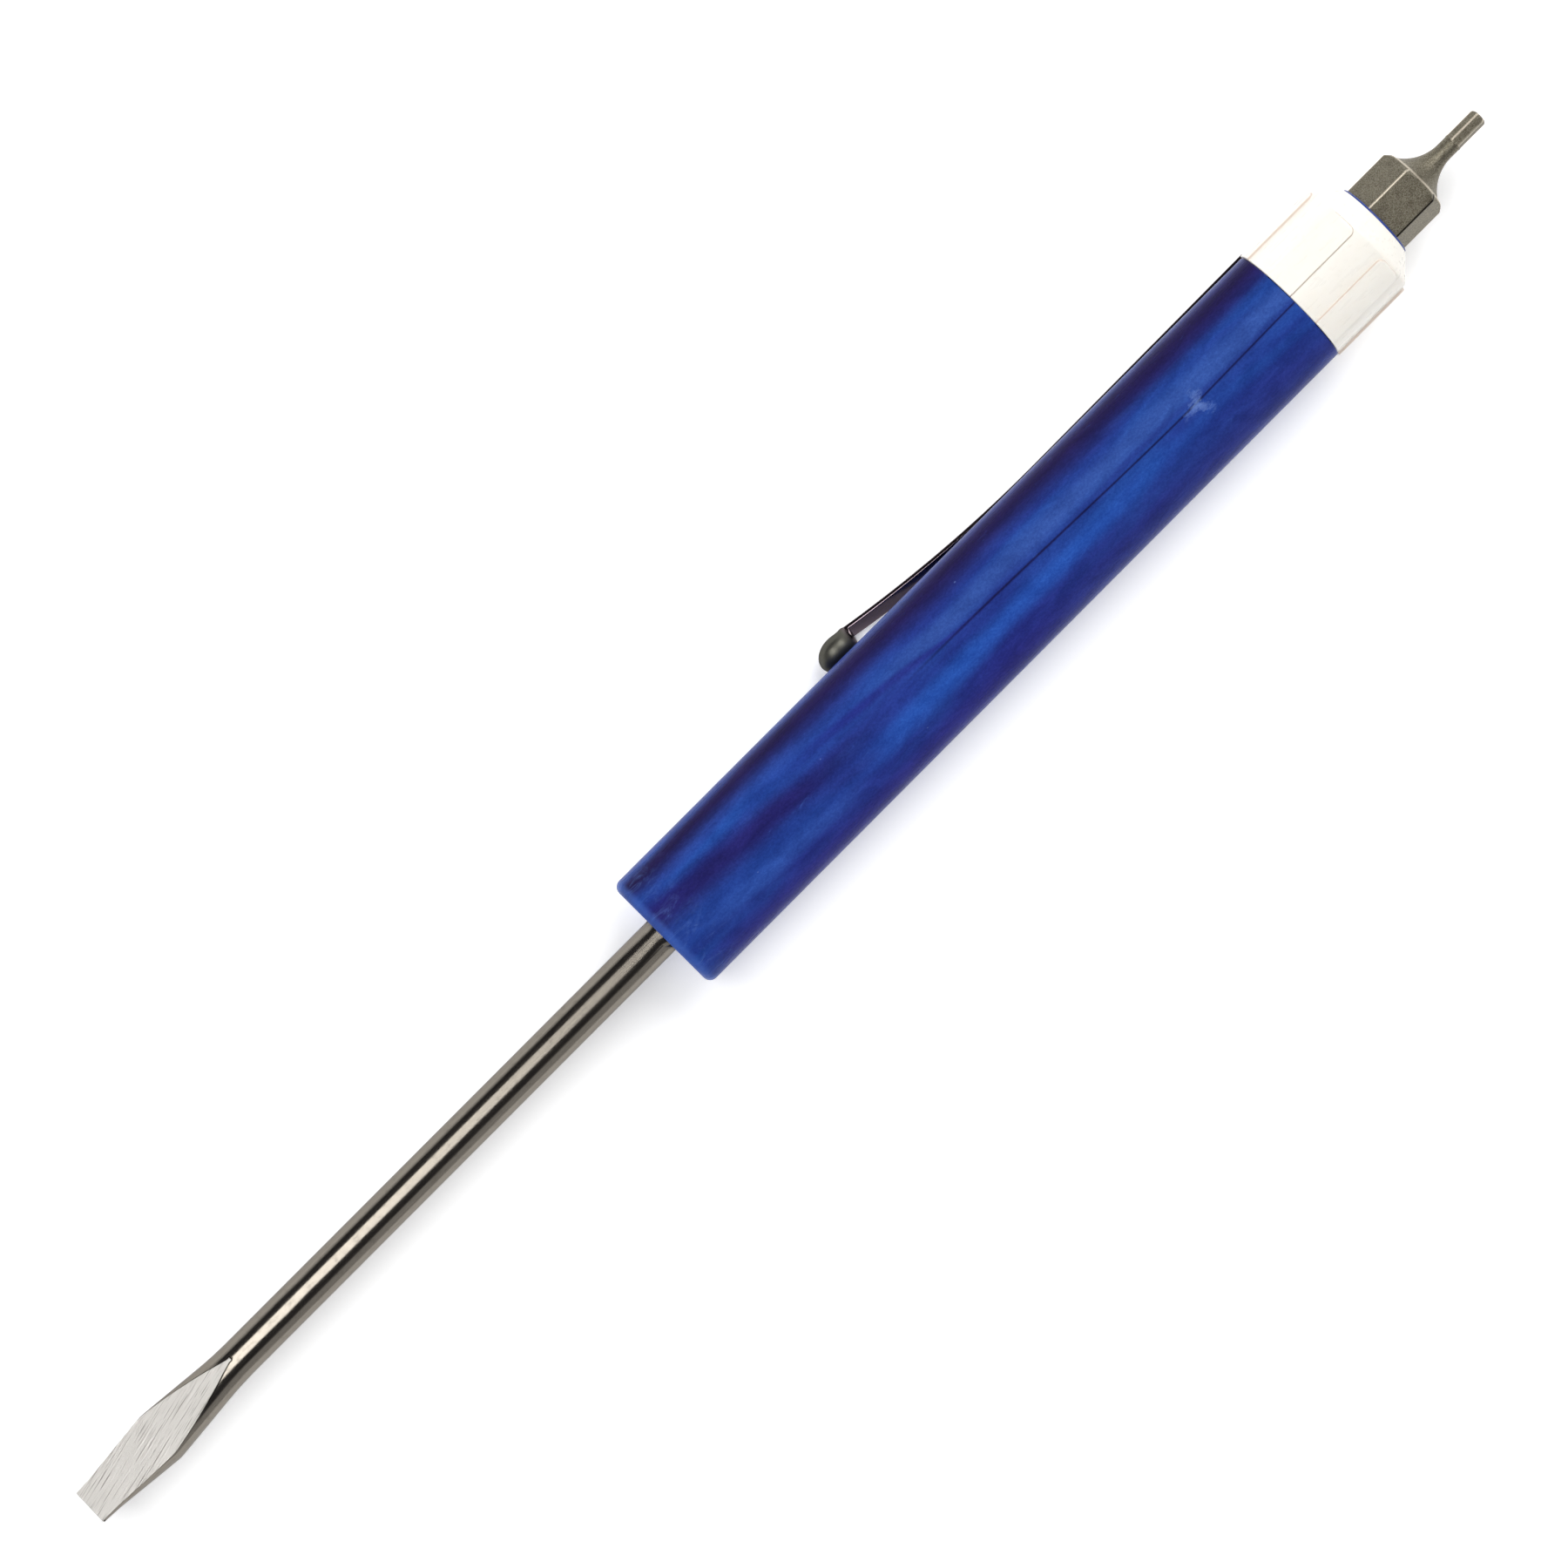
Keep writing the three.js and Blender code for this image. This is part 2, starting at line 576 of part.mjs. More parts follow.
/** The bit: a hexagonal shank with a chamfered shoulder, a cove to a round neck, and a hexagon key end. */
function bit() {
  const corner = (BIT_ACROSS_FLATS / 2) * HEX_CORNER;
  const shoulder = COLLAR_MOUTH + BIT_SHOULDER;
  const coveEnd = shoulder + BIT_COVE_END;
  const coveStart = shoulder + BIT_CHAMFER;
  const reach = (coveEnd - coveStart) / BIT_COVE_RADIUS;
  const startAngle = 180 + radToDeg(Math.acos(reach));
  const coveRadius = BIT_NECK_RADIUS + BIT_COVE_RADIUS;
  const cove = arc(coveEnd, coveRadius, BIT_COVE_RADIUS, startAngle, 270, CURVE_STEPS);
  const keyStart = BIT_POINT - KEY_LENGTH;
  const envelope = turned(
    [
      [BIT_BACK, 0],
      [keyStart, 0],
      [keyStart, BIT_NECK_RADIUS],
      ...cove.reverse(),
      [coveStart, corner - BIT_CHAMFER + BIT_CORNER_ROOM],
      [shoulder, corner + BIT_CORNER_ROOM],
      [BIT_BACK + BIT_BACK_CHAMFER, corner + BIT_CORNER_ROOM],
      [BIT_BACK, corner - BIT_BACK_CHAMFER],
      [BIT_BACK, 0],
    ],
    AROUND_BIT,
  );
  const shank = envelope.intersect(hexBar(BIT_ACROSS_FLATS, BIT_BACK, BIT_POINT));
  const keyCorner = (KEY_ACROSS_FLATS / 2) * HEX_CORNER;
  const keyRoot = keyStart - KEY_ROOT;
  const roundStart = BIT_POINT - KEY_END_ROUND;
  const keyEnvelope = turned(
    [
      [keyRoot, 0],
      [BIT_POINT, 0],
      ...arc(roundStart, keyCorner - KEY_END_ROUND, KEY_END_ROUND, 0, 90, ROUND_STEPS),
      [keyStart, keyCorner],
      [keyRoot, KEY_ROOT_RADIUS],
      [keyRoot, 0],
    ],
    AROUND_KEY,
  );
  const keyBar = hexBar(KEY_ACROSS_FLATS, keyRoot - OVERSHOOT, BIT_POINT + OVERSHOOT);
  return shank.add(keyEnvelope.intersect(keyBar));
}

// ---- Assembly ----

const BLUE_PLASTIC = { color: 0x1f4596, roughness: 0.28, metalness: 0.05 };
const BLACK_PLASTIC = { color: 0x23242a, roughness: 0.5, metalness: 0 };
const WHITE_PLASTIC = { color: 0xf3efe9, roughness: 0.3, metalness: 0 };
const SPRING_WIRE = { color: 0x9a9890, roughness: 0.3, metalness: 1 };
const DARK_NICKEL = { color: 0x8f897c, roughness: 0.22, metalness: 1 };
const BRIGHT_NICKEL = { color: 0xb0b2b4, roughness: 0.25, metalness: 1 };
const CHROME = { color: 0xb9b5b0, roughness: 0.12, metalness: 1 };
const BLASTED_STEEL = { color: 0x6f6a5f, roughness: 0.55, metalness: 0.9 };

const pieces = [
  { name: "barrel", make: barrel, turn: 0, look: BLUE_PLASTIC },
  { name: "drive_insert", make: driveInsert, turn: BLADE_TURN, look: BLACK_PLASTIC },
  { name: "blade_spring_ring", make: springRing, turn: BLADE_TURN, look: SPRING_WIRE },
  { name: "blade", make: blade, turn: BLADE_TURN, look: DARK_NICKEL },
  { name: "bit_socket", make: bitSocket, turn: HEX_TURN, look: BLUE_PLASTIC },
  { name: "magnet", make: magnet, turn: 0, look: BRIGHT_NICKEL },
  { name: "collar", make: collar, turn: COLLAR_TURN, look: WHITE_PLASTIC },
  { name: "clip_ring", make: clipRing, turn: CLIP_TURN, look: CHROME },
  { name: "clip_arm", make: clipArm, turn: CLIP_TURN, look: CHROME },
  { name: "bit", make: bit, turn: HEX_TURN, look: BLASTED_STEEL },
];

const tool = new THREE.Group();
for (const piece of pieces) {
  const mesh = new THREE.Mesh(geometryOf(piece.make()), new THREE.MeshStandardMaterial(piece.look));
  mesh.name = piece.name;
  mesh.rotation.x = degToRad(piece.turn);
  tool.add(mesh);
}

// The tool rests on the collar and its origin is on that surface, under the middle of the bounding box.
tool.updateMatrixWorld(true);
const bounds = new THREE.Box3().setFromObject(tool, true);
const middle = bounds.getCenter(new THREE.Vector3());
tool.position.set(-middle.x, -middle.y, -bounds.min.z);

export default tool;
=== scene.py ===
from math import acos, asin, atan, atan2, ceil, cos, degrees, dist, hypot, radians, sin, sqrt, tan

import bmesh
import bpy
from mathutils import Matrix, Vector


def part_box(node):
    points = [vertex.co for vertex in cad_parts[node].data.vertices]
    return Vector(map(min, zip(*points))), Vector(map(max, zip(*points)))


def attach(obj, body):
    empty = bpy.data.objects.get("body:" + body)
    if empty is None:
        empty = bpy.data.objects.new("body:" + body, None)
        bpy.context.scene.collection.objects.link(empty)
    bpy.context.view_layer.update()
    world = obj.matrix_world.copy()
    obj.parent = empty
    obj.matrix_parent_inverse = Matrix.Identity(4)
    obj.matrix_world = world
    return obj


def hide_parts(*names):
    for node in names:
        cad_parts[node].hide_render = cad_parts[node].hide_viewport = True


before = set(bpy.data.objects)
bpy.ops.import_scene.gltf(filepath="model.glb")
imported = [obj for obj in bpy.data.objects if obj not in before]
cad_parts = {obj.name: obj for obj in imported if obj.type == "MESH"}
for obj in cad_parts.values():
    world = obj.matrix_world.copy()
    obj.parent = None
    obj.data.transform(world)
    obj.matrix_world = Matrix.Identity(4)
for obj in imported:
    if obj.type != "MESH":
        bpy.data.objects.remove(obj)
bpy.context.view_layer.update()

# The looks of the pocket screwdriver. Sizes are in millimetres. A place on the tool is its distance
# behind the nose face, its radius from the tool's axis, and its angle in degrees from straight up
# towards -Y.

MM = 0.001
barrel_low, barrel_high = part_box("barrel")
NOSE_X = barrel_high.x
AXIS_Y = (barrel_low.y + barrel_high.y) / 2
AXIS_Z = (barrel_low.z + barrel_high.z) / 2


def span(node):
    """The front and back of a CAD node, as distances behind the nose face."""
    low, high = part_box(node)
    return (NOSE_X - high.x) / MM, (NOSE_X - low.x) / MM


# ---- Turns of the pieces about the axis ----

BLADE_TURN = 20.6
HEX_TURN = 21.7
COLLAR_TURN = 22.3
CLIP_TURN = 124.8

# ---- Sizes ----

CLEARANCE = 0.03
TINY = 1e-6

BARREL_LENGTH = span("barrel")[1]
BARREL_NOSE_RADIUS = (barrel_high.z - barrel_low.z) / 2 / MM
BARREL_TOP_RADIUS = 6.0
BARREL_NOSE_ROUND = 0.8
BARREL_TOP_ROUND = 0.15
BARREL_BORE_RADIUS = 2.4

INSERT_FRONT, INSERT_BACK = span("drive_insert")
INSERT_RADIUS = 4.0
INSERT_CHAMFER = 0.3
DRIVE_SLOT_DEPTH = 2.7
DRIVE_SLOT_HALF_WIDTH = 2.56
DRIVE_SLOT_HALF_HEIGHT = 0.61
RING_GROOVE_RADIUS = 2.5
RING_GROOVE = (7.1, 7.9)

BLADE_TIP, BLADE_BACK = span("blade")
SHAFT_RADIUS = 1.8
TIP_HALF_WIDTH = 1.69
TIP_HALF_THICKNESS = 0.28
TIP_EDGE = 0.05
FLAT_TOLERANCE = 0.004
SPADE_HALF_WIDTH = 2.56
SPADE_SHOULDER = 8.8
SPADE_FLARE_START = 17.2
SPADE_FLAT_LENGTH = 17.24
SPADE_RUN_OUT = 1.0
SPADE_SQUARENESS = 2.6
SPADE_SHOULDER_BLEND = 0.05
SPADE_NECK_BLEND = 0.16
SPADE_LEAST_SPLIT = 4  # degrees across the pointed end of a flat, where the ring's points are closest
SPADE_FADE = 6  # length over which the ring's points spread out again behind the flats
WING_MIDDLE = 1.6
WING_LENGTH = 2.2
WING_HALF_SPAN = 2.5
WING_HALF_THICKNESS = 0.55
WING_CORNER = 0.35
CROSS_CONE_LENGTH = 2.6
CROSS_POINT_RADIUS = 0.45
CROSS_FLUTE_LENGTH = 6.0
CROSS_WEB = 0.38
CROSS_FLOOR_START = 0.23
CROSS_LEAST_SPLIT = 3.0

SOCKET_BACK, SOCKET_MOUTH = span("bit_socket")
SOCKET_RADIUS = 4.5
SOCKET_MOUTH_RADIUS = 3.85
SOCKET_STEP_LENGTH = 2.4
SOCKET_EDGE = 0.12
SOCKET_HALF_FLATS = 3.21
SOCKET_FLOOR = 0.75
SOCKET_GUIDE_RADIUS = 2.1
SOCKET_CORNER_BLEND = 0.05
SOCKET_LEAD = 0.1  # the chamfer round the mouth of the hexagon

MAGNET_BACK, MAGNET_FRONT = span("magnet")
MAGNET_RADIUS = 2.9
MAGNET_CHAMFER = 0.2

BIT_BACK, BIT_POINT = span("bit")
BIT_HALF_FLATS = 3.175
BIT_CORNER_BLEND = 0.07
BIT_BACK_CHAMFER = 0.5
BIT_SHOULDER = 4.7
BIT_CHAMFER = 0.57
BIT_COVE_RADIUS = 4.22
BIT_COVE_END = 4.15
BIT_NECK_RADIUS = 0.83
KEY_HALF_FLATS = 0.75
KEY_CORNER_BLEND = 0.03
KEY_RUN_OUT = 0.35
KEY_RUN_OUT_HEIGHT = 0.12
KEY_LENGTH = 3.5
KEY_END_ROUND = 0.45
WORN_GLINT_EDGE = 0.09  # half the width of the worn line along a corner, which also carries a painted highlight
WORN_GLINT_SHOULDER = 0.12
WORN_GLINT_SHARE = 0.8  # how worn, with its painted highlight, the key, the bright corners and the shoulder are at most

COLLAR_BACK, COLLAR_MOUTH = span("collar")
COLLAR_PAD_RADIUS = 6.2
COLLAR_RING_RADIUS = 5.92
COLLAR_PAD_HALF_WIDTH = 1.6
COLLAR_PAD_END = BARREL_LENGTH + 8.3
COLLAR_PAD_CORNER = 0.7
COLLAR_PAD_WALL = 0.14
COLLAR_CHAMFER = 2.25
COLLAR_CHAMFER_BLEND = 0.3
COLLAR_BACK_EDGE = 0.06
COLLAR_MOUTH_EDGE = 0.1
COLLAR_MOUTH_RADIUS = 3.9
COLLAR_NOTCH_HALF_ANGLE = 14.9
COLLAR_NOTCH_WALL = 0.04  # half the angle that a wall of the notch takes up
COLLAR_NOTCH_ROOM = 0.08  # between the clip's ring and the notch's end

CLIP_RING_BACK, CLIP_RING_FRONT = span("clip_ring")
CLIP_THICKNESS = 0.4
CLIP_RING_RADIUS = 5.5
CLIP_TAB_REACH = 6.06
CLIP_UNDERSIDE = BARREL_NOSE_RADIUS + 0.08
CLIP_BOW_START = 25.3
CLIP_BALL_PLACE = 49.7
CLIP_BOW_HEIGHT = 2.65
CLIP_ROOT_WIDTH = 2.9
CLIP_MIDDLE_WIDTH = 2.4
CLIP_NECK_WIDTH = 1.7
CLIP_BALL_HALF_LENGTH = 2.07
CLIP_BALL_HALF_WIDTH = 1.8
CLIP_BALL_HALF_HEIGHT = 1.4
CLIP_SWELL = 0.6
CLIP_OUTER_SWELL = 0.45
STRIP_ROUND = 0.5

AROUND = 256
QUARTER_STEPS = 14  # steps of each of the two stretches in a quarter of the blade's rings
# From a hexagon's corner to the middle of a flat, in degrees.
CORNER_ANGLES = [0, 0.7, 1.4, 2.2, 3.2, 4.5, 6, 8, 11, 15, 20, 25, 30]
CREASE = radians(14)

# ---- Marks on the surfaces ----

STREAK_CORE = 0.1  # share of a streak's half width that is full strength
THIN_STREAK = 2  # degrees of half width below which a streak runs straight and doesn't sway
BURST_BEHIND = 66.2
BURST_ANGLE = -1.0
BURST_PER_DEGREE = 0.105  # length on the barrel's surface
BURST_RAYS = 3
BURST_PHASE = -1.76
GRIND_SLANT = 13.0

# ---- Light and camera, with lengths in metres where not said otherwise ----

FLOOR_SIZE = 30
FLOOR_DROP = 0.00002
FLOOR_TONES = ((0.90, 0.90, 0.90, 1), (0.93, 0.93, 0.93, 1))
FLOOR_GLOW = 0.3
FAR_FLOOR_GLOW = 0.45
FAR_FLOOR = (0.8, 3.0)  # where the glow starts and ends to rise
SURROUND = (0.95, 0.96, 0.97, 1)
FAR_SURROUND = (0.62, 0.62, 0.63, 1)
CEILING = (0.05, 0.05, 0.055, 1)
SURROUND_TOP = (0.40, 0.50)
FAR_RISE = 0.25
# Name, middle, size, the point it faces and its power in watts.
PANELS = [
    ("tip_side", (0.39, -0.42, 1.4), (0.63, 1.25), (0.39, -0.42, 0), 13.5),
    ("bit_side", (-0.95, -0.4, 1.2), (1.1, 1.1), (0.0, -0.1, 0), 16),
]
CAMERA_LENS = 220.4
CAMERA_AIM = (-17.1, -1.79, 0)  # millimetres from the middle of the nose face
CAMERA_EYE = (0, -40.8, 846)


# ---- Mesh helpers ----


def place(behind, radius, angle):
    """A point on the tool, in metres in the frame."""
    turn = radians(angle)
    return Vector((
        NOSE_X - behind * MM,
        AXIS_Y - radius * sin(turn) * MM,
        AXIS_Z + radius * cos(turn) * MM,
    ))


def lerp(start, end, share):
    return start + (end - start) * share


def spread(start, end, steps):
    """Evenly spaced values from start to end, both included."""
    return [lerp(start, end, step / steps) for step in range(steps + 1)]


def stretches(*stops):
    """Values in even steps, given as a value, the number of steps to the next value, and so on."""
    values = []
    for start, steps, end in zip(stops[::2], stops[1::2], stops[2::2]):
        values = values[:-1] + spread(start, end, steps)
    return values


def soft_min(a, b, blend):
    """The smaller of two values, with a round change from one to the other."""
    share = max(0.0, blend - abs(a - b)) / blend
    return min(a, b) - share * share * blend / 4


def soft_max(a, b, blend):
    return -soft_min(-a, -b, blend)


def smooth(value):
    """0 up to 0, 1 from 1 on, and a smooth rise between."""
    value = min(1.0, max(0.0, value))
    return value * value * (3 - 2 * value)


def arc(behind, radius, round_radius, start, end, steps):
    """Stations along an arc, from one angle to another in degrees."""
    turns = [radians(angle) for angle in spread(start, end, steps)]
    return [(behind + round_radius * cos(a), radius + round_radius * sin(a)) for a in turns]


def ring(behind, radius, angles):
    """One ring of (behind, radius, angle) points. The first two are numbers or functions of the angle."""
    return [
        (
            behind(angle) if callable(behind) else behind,
            radius(angle) if callable(radius) else radius,
            angle,
        )
        for angle in angles
    ]


def add_rings(build, rings, turn, closed):
    """Adds a tube of rings to a mesh, and gives its rows. A ring of one point closes it with a fan."""
    rows = [[build.verts.new(place(b, r, a + turn)) for b, r, a in points] for points in rings]
    pairs = list(zip(rows, rows[1:]))
    if closed:
        pairs.append((rows[-1], rows[0]))
    for one, other in pairs:
        count = max(len(one), len(other))
        for index in range(count):
            after = (index + 1) % count
            near = [one[index % len(one)], one[after % len(one)]]
            far = [other[after % len(other)], other[index % len(other)]]
            build.faces.new(list(dict.fromkeys(near + far)))
    return rows


def finish_mesh(name, build, body, node, material):
    """Turns the built mesh into a piece that rides on a body and stands for a CAD node."""
    bmesh.ops.remove_doubles(build, verts=build.verts, dist=1e-7)
    bmesh.ops.recalc_face_normals(build, faces=build.faces)
    mesh = bpy.data.meshes.new(name)
    build.to_mesh(mesh)
    build.free()
    mesh.shade_smooth()
    mesh.set_sharp_from_angle(angle=CREASE)
    piece = bpy.data.objects.new(name, mesh)
    bpy.context.scene.collection.objects.link(piece)
    mesh.materials.append(material)
    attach(piece, body)
    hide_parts(node)
    return piece


def turned(stations, angles):
    """Rings from (behind, radius) stations, where a radius of 0 is a single point on the axis."""
    return [
        ring(behind, radius, angles[:1] if not callable(radius) and radius == 0 else angles)
        for behind, radius in stations
    ]


def tube_piece(name, rings, turn, closed, body, material):
    """A piece made of rings round the tool's axis."""
    build = bmesh.new()
    add_rings(build, rings, turn, closed)
    return finish_mesh(name + "_fine", build, body, name, material)


def all_round(sides=AROUND):
    return [360 * side / sides for side in range(sides)]


def mirrored(quarter):
    """Angles of one side, from 0 to 180 / n degrees with both ends, mirrored and repeated n times round."""
    period = 2 * quarter[-1]
    one = quarter[:-1] + [period - angle for angle in reversed(quarter[1:])]
    copies = round(360 / period)
    return [angle + period * copy for copy in range(copies) for angle in one]


# ---- Material helpers ----


def paint(code):
    """A display colour, as 0xRRGGBB, in the renderer's linear values."""
    values = [((code >> shift) & 255) / 255 for shift in (16, 8, 0)]
    linear = [v / 12.92 if v <= 0.04045 else ((v + 0.055) / 1.055) ** 2.4 for v in values]
    return (*linear, 1.0)


class Nodes:
    """A node tree, with short calls for the nodes used here."""

    def __init__(self, tree):
        self.tree = tree

    def put(self, socket, value):
        """Links another node's output to a socket, or sets its value."""
        if isinstance(value, bpy.types.NodeSocket):
            self.tree.links.new(value, socket)
        else:
            socket.default_value = value

    def node(self, kind, settings=None, **inputs):
        made = self.tree.nodes.new(kind)
        for key, value in (settings or {}).items():
            setattr(made, key, value)
        for key, value in inputs.items():
            self.put(made.inputs[key], value)
        return made

    def math(self, operation, *values, clamp=False):
        made = self.node("ShaderNodeMath", {"operation": operation, "use_clamp": clamp})
        for socket, value in zip(made.inputs, values):
            self.put(socket, value)
        return made.outputs[0]

    def linear(self, value, slope, start):
        return self.math("MULTIPLY_ADD", value, slope, start)

    def times(self, *values):
        """The product of two or more values."""
        product = values[0]
        for value in values[1:]:
            product = self.math("MULTIPLY", product, value)
        return product

    def between(self, share, one, other):
        """A number between two others."""
        return self.linear(self.math("SUBTRACT", other, one), share, one)

    def vector(self, *values):
        made = self.node("ShaderNodeCombineXYZ")
        for socket, value in zip(made.inputs, values):
            self.put(socket, value)
        return made.outputs[0]

    def stored(self, name):
        """A number that paint_points stored on the mesh."""
        return self.node("ShaderNodeAttribute", {"attribute_name": name}).outputs["Fac"]

    def noise(self, point, scale, detail, roughness=0.55, distortion=0.0):
        made = self.node("ShaderNodeTexNoise", Vector=point, Scale=scale, Detail=detail, Roughness=roughness)
        made.inputs["Distortion"].default_value = distortion
        return made.outputs["Fac"]

    def step(self, value, low, high, from_value=0.0, to_value=1.0):
        """A smooth change from one value to another as the input goes from low to high."""
        made = self.node("ShaderNodeMapRange", {"interpolation_type": "SMOOTHSTEP"})
        for socket, number in zip(made.inputs, (value, low, high, from_value, to_value)):
            self.put(socket, number)
        return made.outputs[0]

    def mix(self, share, one, other, blend="MIX"):
        """A mix of two colours, each from another node, in linear values, or as 0xRRGGBB."""
        made = self.node("ShaderNodeMix", {"data_type": "RGBA", "blend_type": blend})
        self.put(made.inputs[0], share)
        for index, color in ((6, one), (7, other)):
            self.put(made.inputs[index], paint(color) if isinstance(color, int) else color)
        return made.outputs[2]

    def bump(self, height, distance, strength, below=None):
        """A normal from a height of 0 to 1, over a distance in millimetres."""
        made = self.node("ShaderNodeBump", Height=height, Distance=distance * MM, Strength=strength)
        if below is not None:
            self.put(made.inputs["Normal"], below)
        return made.outputs["Normal"]


class Finish(Nodes):
    """A material, which knows where on the tool it is."""

    def __init__(self, name):
        self.material = bpy.data.materials.new(name)
        self.material.use_nodes = True
        super().__init__(self.material.node_tree)
        self.shader = self.tree.nodes["Principled BSDF"]
        self.object_point = self.tree.nodes.new("ShaderNodeTexCoord").outputs["Object"]
        apart = self.node("ShaderNodeSeparateXYZ", Vector=self.object_point)
        self.behind = self.linear(apart.outputs["X"], -1 / MM, NOSE_X / MM)
        self.side = self.linear(apart.outputs["Y"], -1 / MM, AXIS_Y / MM)
        self.up = self.linear(apart.outputs["Z"], 1 / MM, -AXIS_Z / MM)
        turn = self.math("ARCTAN2", self.side, self.up)
        self.angle = self.times(turn, degrees(1))

    def point(self, along, across):
        """The point in millimetres, with its distances along and across the axis scaled."""
        sides = [self.times(value, across) for value in (self.side, self.up)]
        return self.vector(self.times(self.behind, along), *sides)

    def grain(self, along, across, *shape):
        """Noise in millimetres, with its distances along and across the axis scaled."""
        return self.noise(self.point(along, across), 1.0, *shape)

    def done(self, **inputs):
        """Sets the shader's inputs, and gives the material."""
        for key, value in inputs.items():
            self.put(self.shader.inputs[key.replace("_", " ")], value)
        return self.material


# ---- Materials ----


# Soft bands of colour in the moulded plastic, a few of them painted sheen and painted shade: the colour, the
# start and the end as (behind, angle), half the width there in degrees, the strength, and the length over
# which each end fades.
BARREL_STREAKS = [
    # Lighter flow, and one painted sheen.
    (0x2F4FA0, (4, -22), (21, -30), (15, 12), 0.9, (3, 3)),
    (0x2A55AE, (24, -19), (60, -15), (16, 15), 0.8, (3, 10)),
    (0x2A4694, (3, 42), (30, 34), (12, 14), 0.7, (3, 10)),
    # Painted sheen: a lighter band that stands for a faint reflection along the middle of the barrel.
    (0x34529C, (30, 22), (80, 13), (14, 17), 0.9, (6, 2)),
    # Darker flow, with painted shade where marked.
    (0x252A68, (-4, 52), (82, 50), (20, 28), 0.8, (2, 2)),
    (0x1C1446, (-4, 61), (82, 60), (19, 30), 1.0, (2, 2)),
    (0x221F60, (-2, 18), (23, 2), (24, 15), 0.95, (1, 7)),
    # Painted shade that leads into the knit line.
    (0x24287A, (20, 26), (41, 7), (9, 3), 0.7, (6, 4)),
    # Darker flow on the side turned from the light, partly painted shade.
    (0x28297A, (2, -60), (50, -56), (38, 46), 0.95, (3, 10)),
    (0x29317C, (46, -56), (82, -54), (42, 44), 0.85, (8, 3)),
    (0x283078, (18, -10), (25, -17), (10, 10), 0.6, (4, 4)),
    # The knit line, where the plastic flowed together, and the soft shade above it.
    (0x22307A, (36, 7), (80, 3.5), (6, 5), 0.55, (8, 2)),
    (0x14143F, (34, 7), (66, 0.6), (1.8, 1.5), 0.9, (8, 4)),
    (0x14143F, (64, 0.6), (80, 2.2), (1.5, 1.4), 0.85, (2, 1)),
]


def streak_mask(finish, angle, start, end, half_width, strength, fade):
    """How strong a band of colour is at each place."""
    share = finish.step(finish.behind, start[0], end[0])
    middle = finish.linear(share, end[1] - start[1], start[1])
    half = finish.linear(share, half_width[1] - half_width[0], half_width[0])
    away = finish.math("ABSOLUTE", finish.math("SUBTRACT", angle, middle))
    across = finish.step(finish.math("DIVIDE", away, half), 1.0, STREAK_CORE)
    rise = finish.step(finish.behind, start[0] - fade[0], start[0] + fade[0])
    fall = finish.step(finish.behind, end[0] + fade[1], end[0] - fade[1])
    return finish.times(across, finish.times(rise, fall), strength)


def barrel_finish():
    """Pearlescent blue plastic: flow streaks, some of them painted sheen and shade, fine flakes, a knit line,
    pale specks and handling marks.
    """
    finish = Finish("pearl_blue_plastic")
    sway = finish.grain(0.09, 0.16, 2.0)
    angle = finish.math("ADD", finish.angle, finish.linear(sway, 14.0, -7.0))
    flow = finish.grain(0.06, 0.3, 2.0, 0.5, 0.8)
    color = finish.mix(finish.step(flow, 0.3, 0.7), 0x243684, 0x244896)
    for streak_color, start, end, half_width, *rest in BARREL_STREAKS:
        streak_angle = finish.angle if half_width[1] < THIN_STREAK else angle
        mask = streak_mask(finish, streak_angle, start, end, half_width, *rest)
        color = finish.mix(mask, color, streak_color)
    cloud = finish.grain(0.3, 0.7, 3.0, 0.5, 0.6)
    color = finish.mix(0.5, color, finish.step(cloud, 0.2, 0.8, 0.25, 0.75), "SOFT_LIGHT")
    flakes = finish.grain(4.0, 5.0, 3.0, 0.7)
    color = finish.mix(0.35, color, finish.step(flakes, 0.3, 0.75, 0.25, 0.75), "SOFT_LIGHT")
    wisps = finish.grain(0.35, 0.9, 5.0, 0.7, 1.2)
    color = finish.mix(finish.step(wisps, 0.62, 0.8, 0.0, 0.35), color, 0x4264B4)
    specks = finish.node("ShaderNodeTexVoronoi", {"feature": "F1"}, Vector=finish.point(0.2, 0.26), Scale=1.0)
    speck = finish.step(specks.outputs["Distance"], 0.03, 0.012)
    color = finish.mix(finish.times(speck, 0.35), color, 0x6F86C4)
    color = finish.mix(burst_mask(finish), color, 0x7897D8)
    near_nose = finish.step(finish.behind, 6.0, 1.0)
    scuffs = finish.times(finish.step(wisps, 0.48, 0.8, 0.0, 0.45), near_nose)
    color = finish.mix(scuffs, color, 0x5B7AC0)
    edge = finish.step(finish.behind, 1.1, 0.35)
    color = finish.mix(finish.times(edge, 0.45), color, 0x4A6EC4)
    rub = finish.grain(0.5, 2.0, 4.0, 0.65)
    scratches = finish.grain(0.6, 14.0, 2.0, 0.5, 0.3)
    height = finish.linear(scratches, 0.4, finish.times(cloud, 0.6))
    return finish.done(
        Base_Color=color,
        Roughness=finish.step(rub, 0.3, 0.75, 0.24, 0.36),
        IOR=1.45,
        Specular_IOR_Level=0.03,
        Normal=finish.bump(height, 0.02, 0.5),
    )


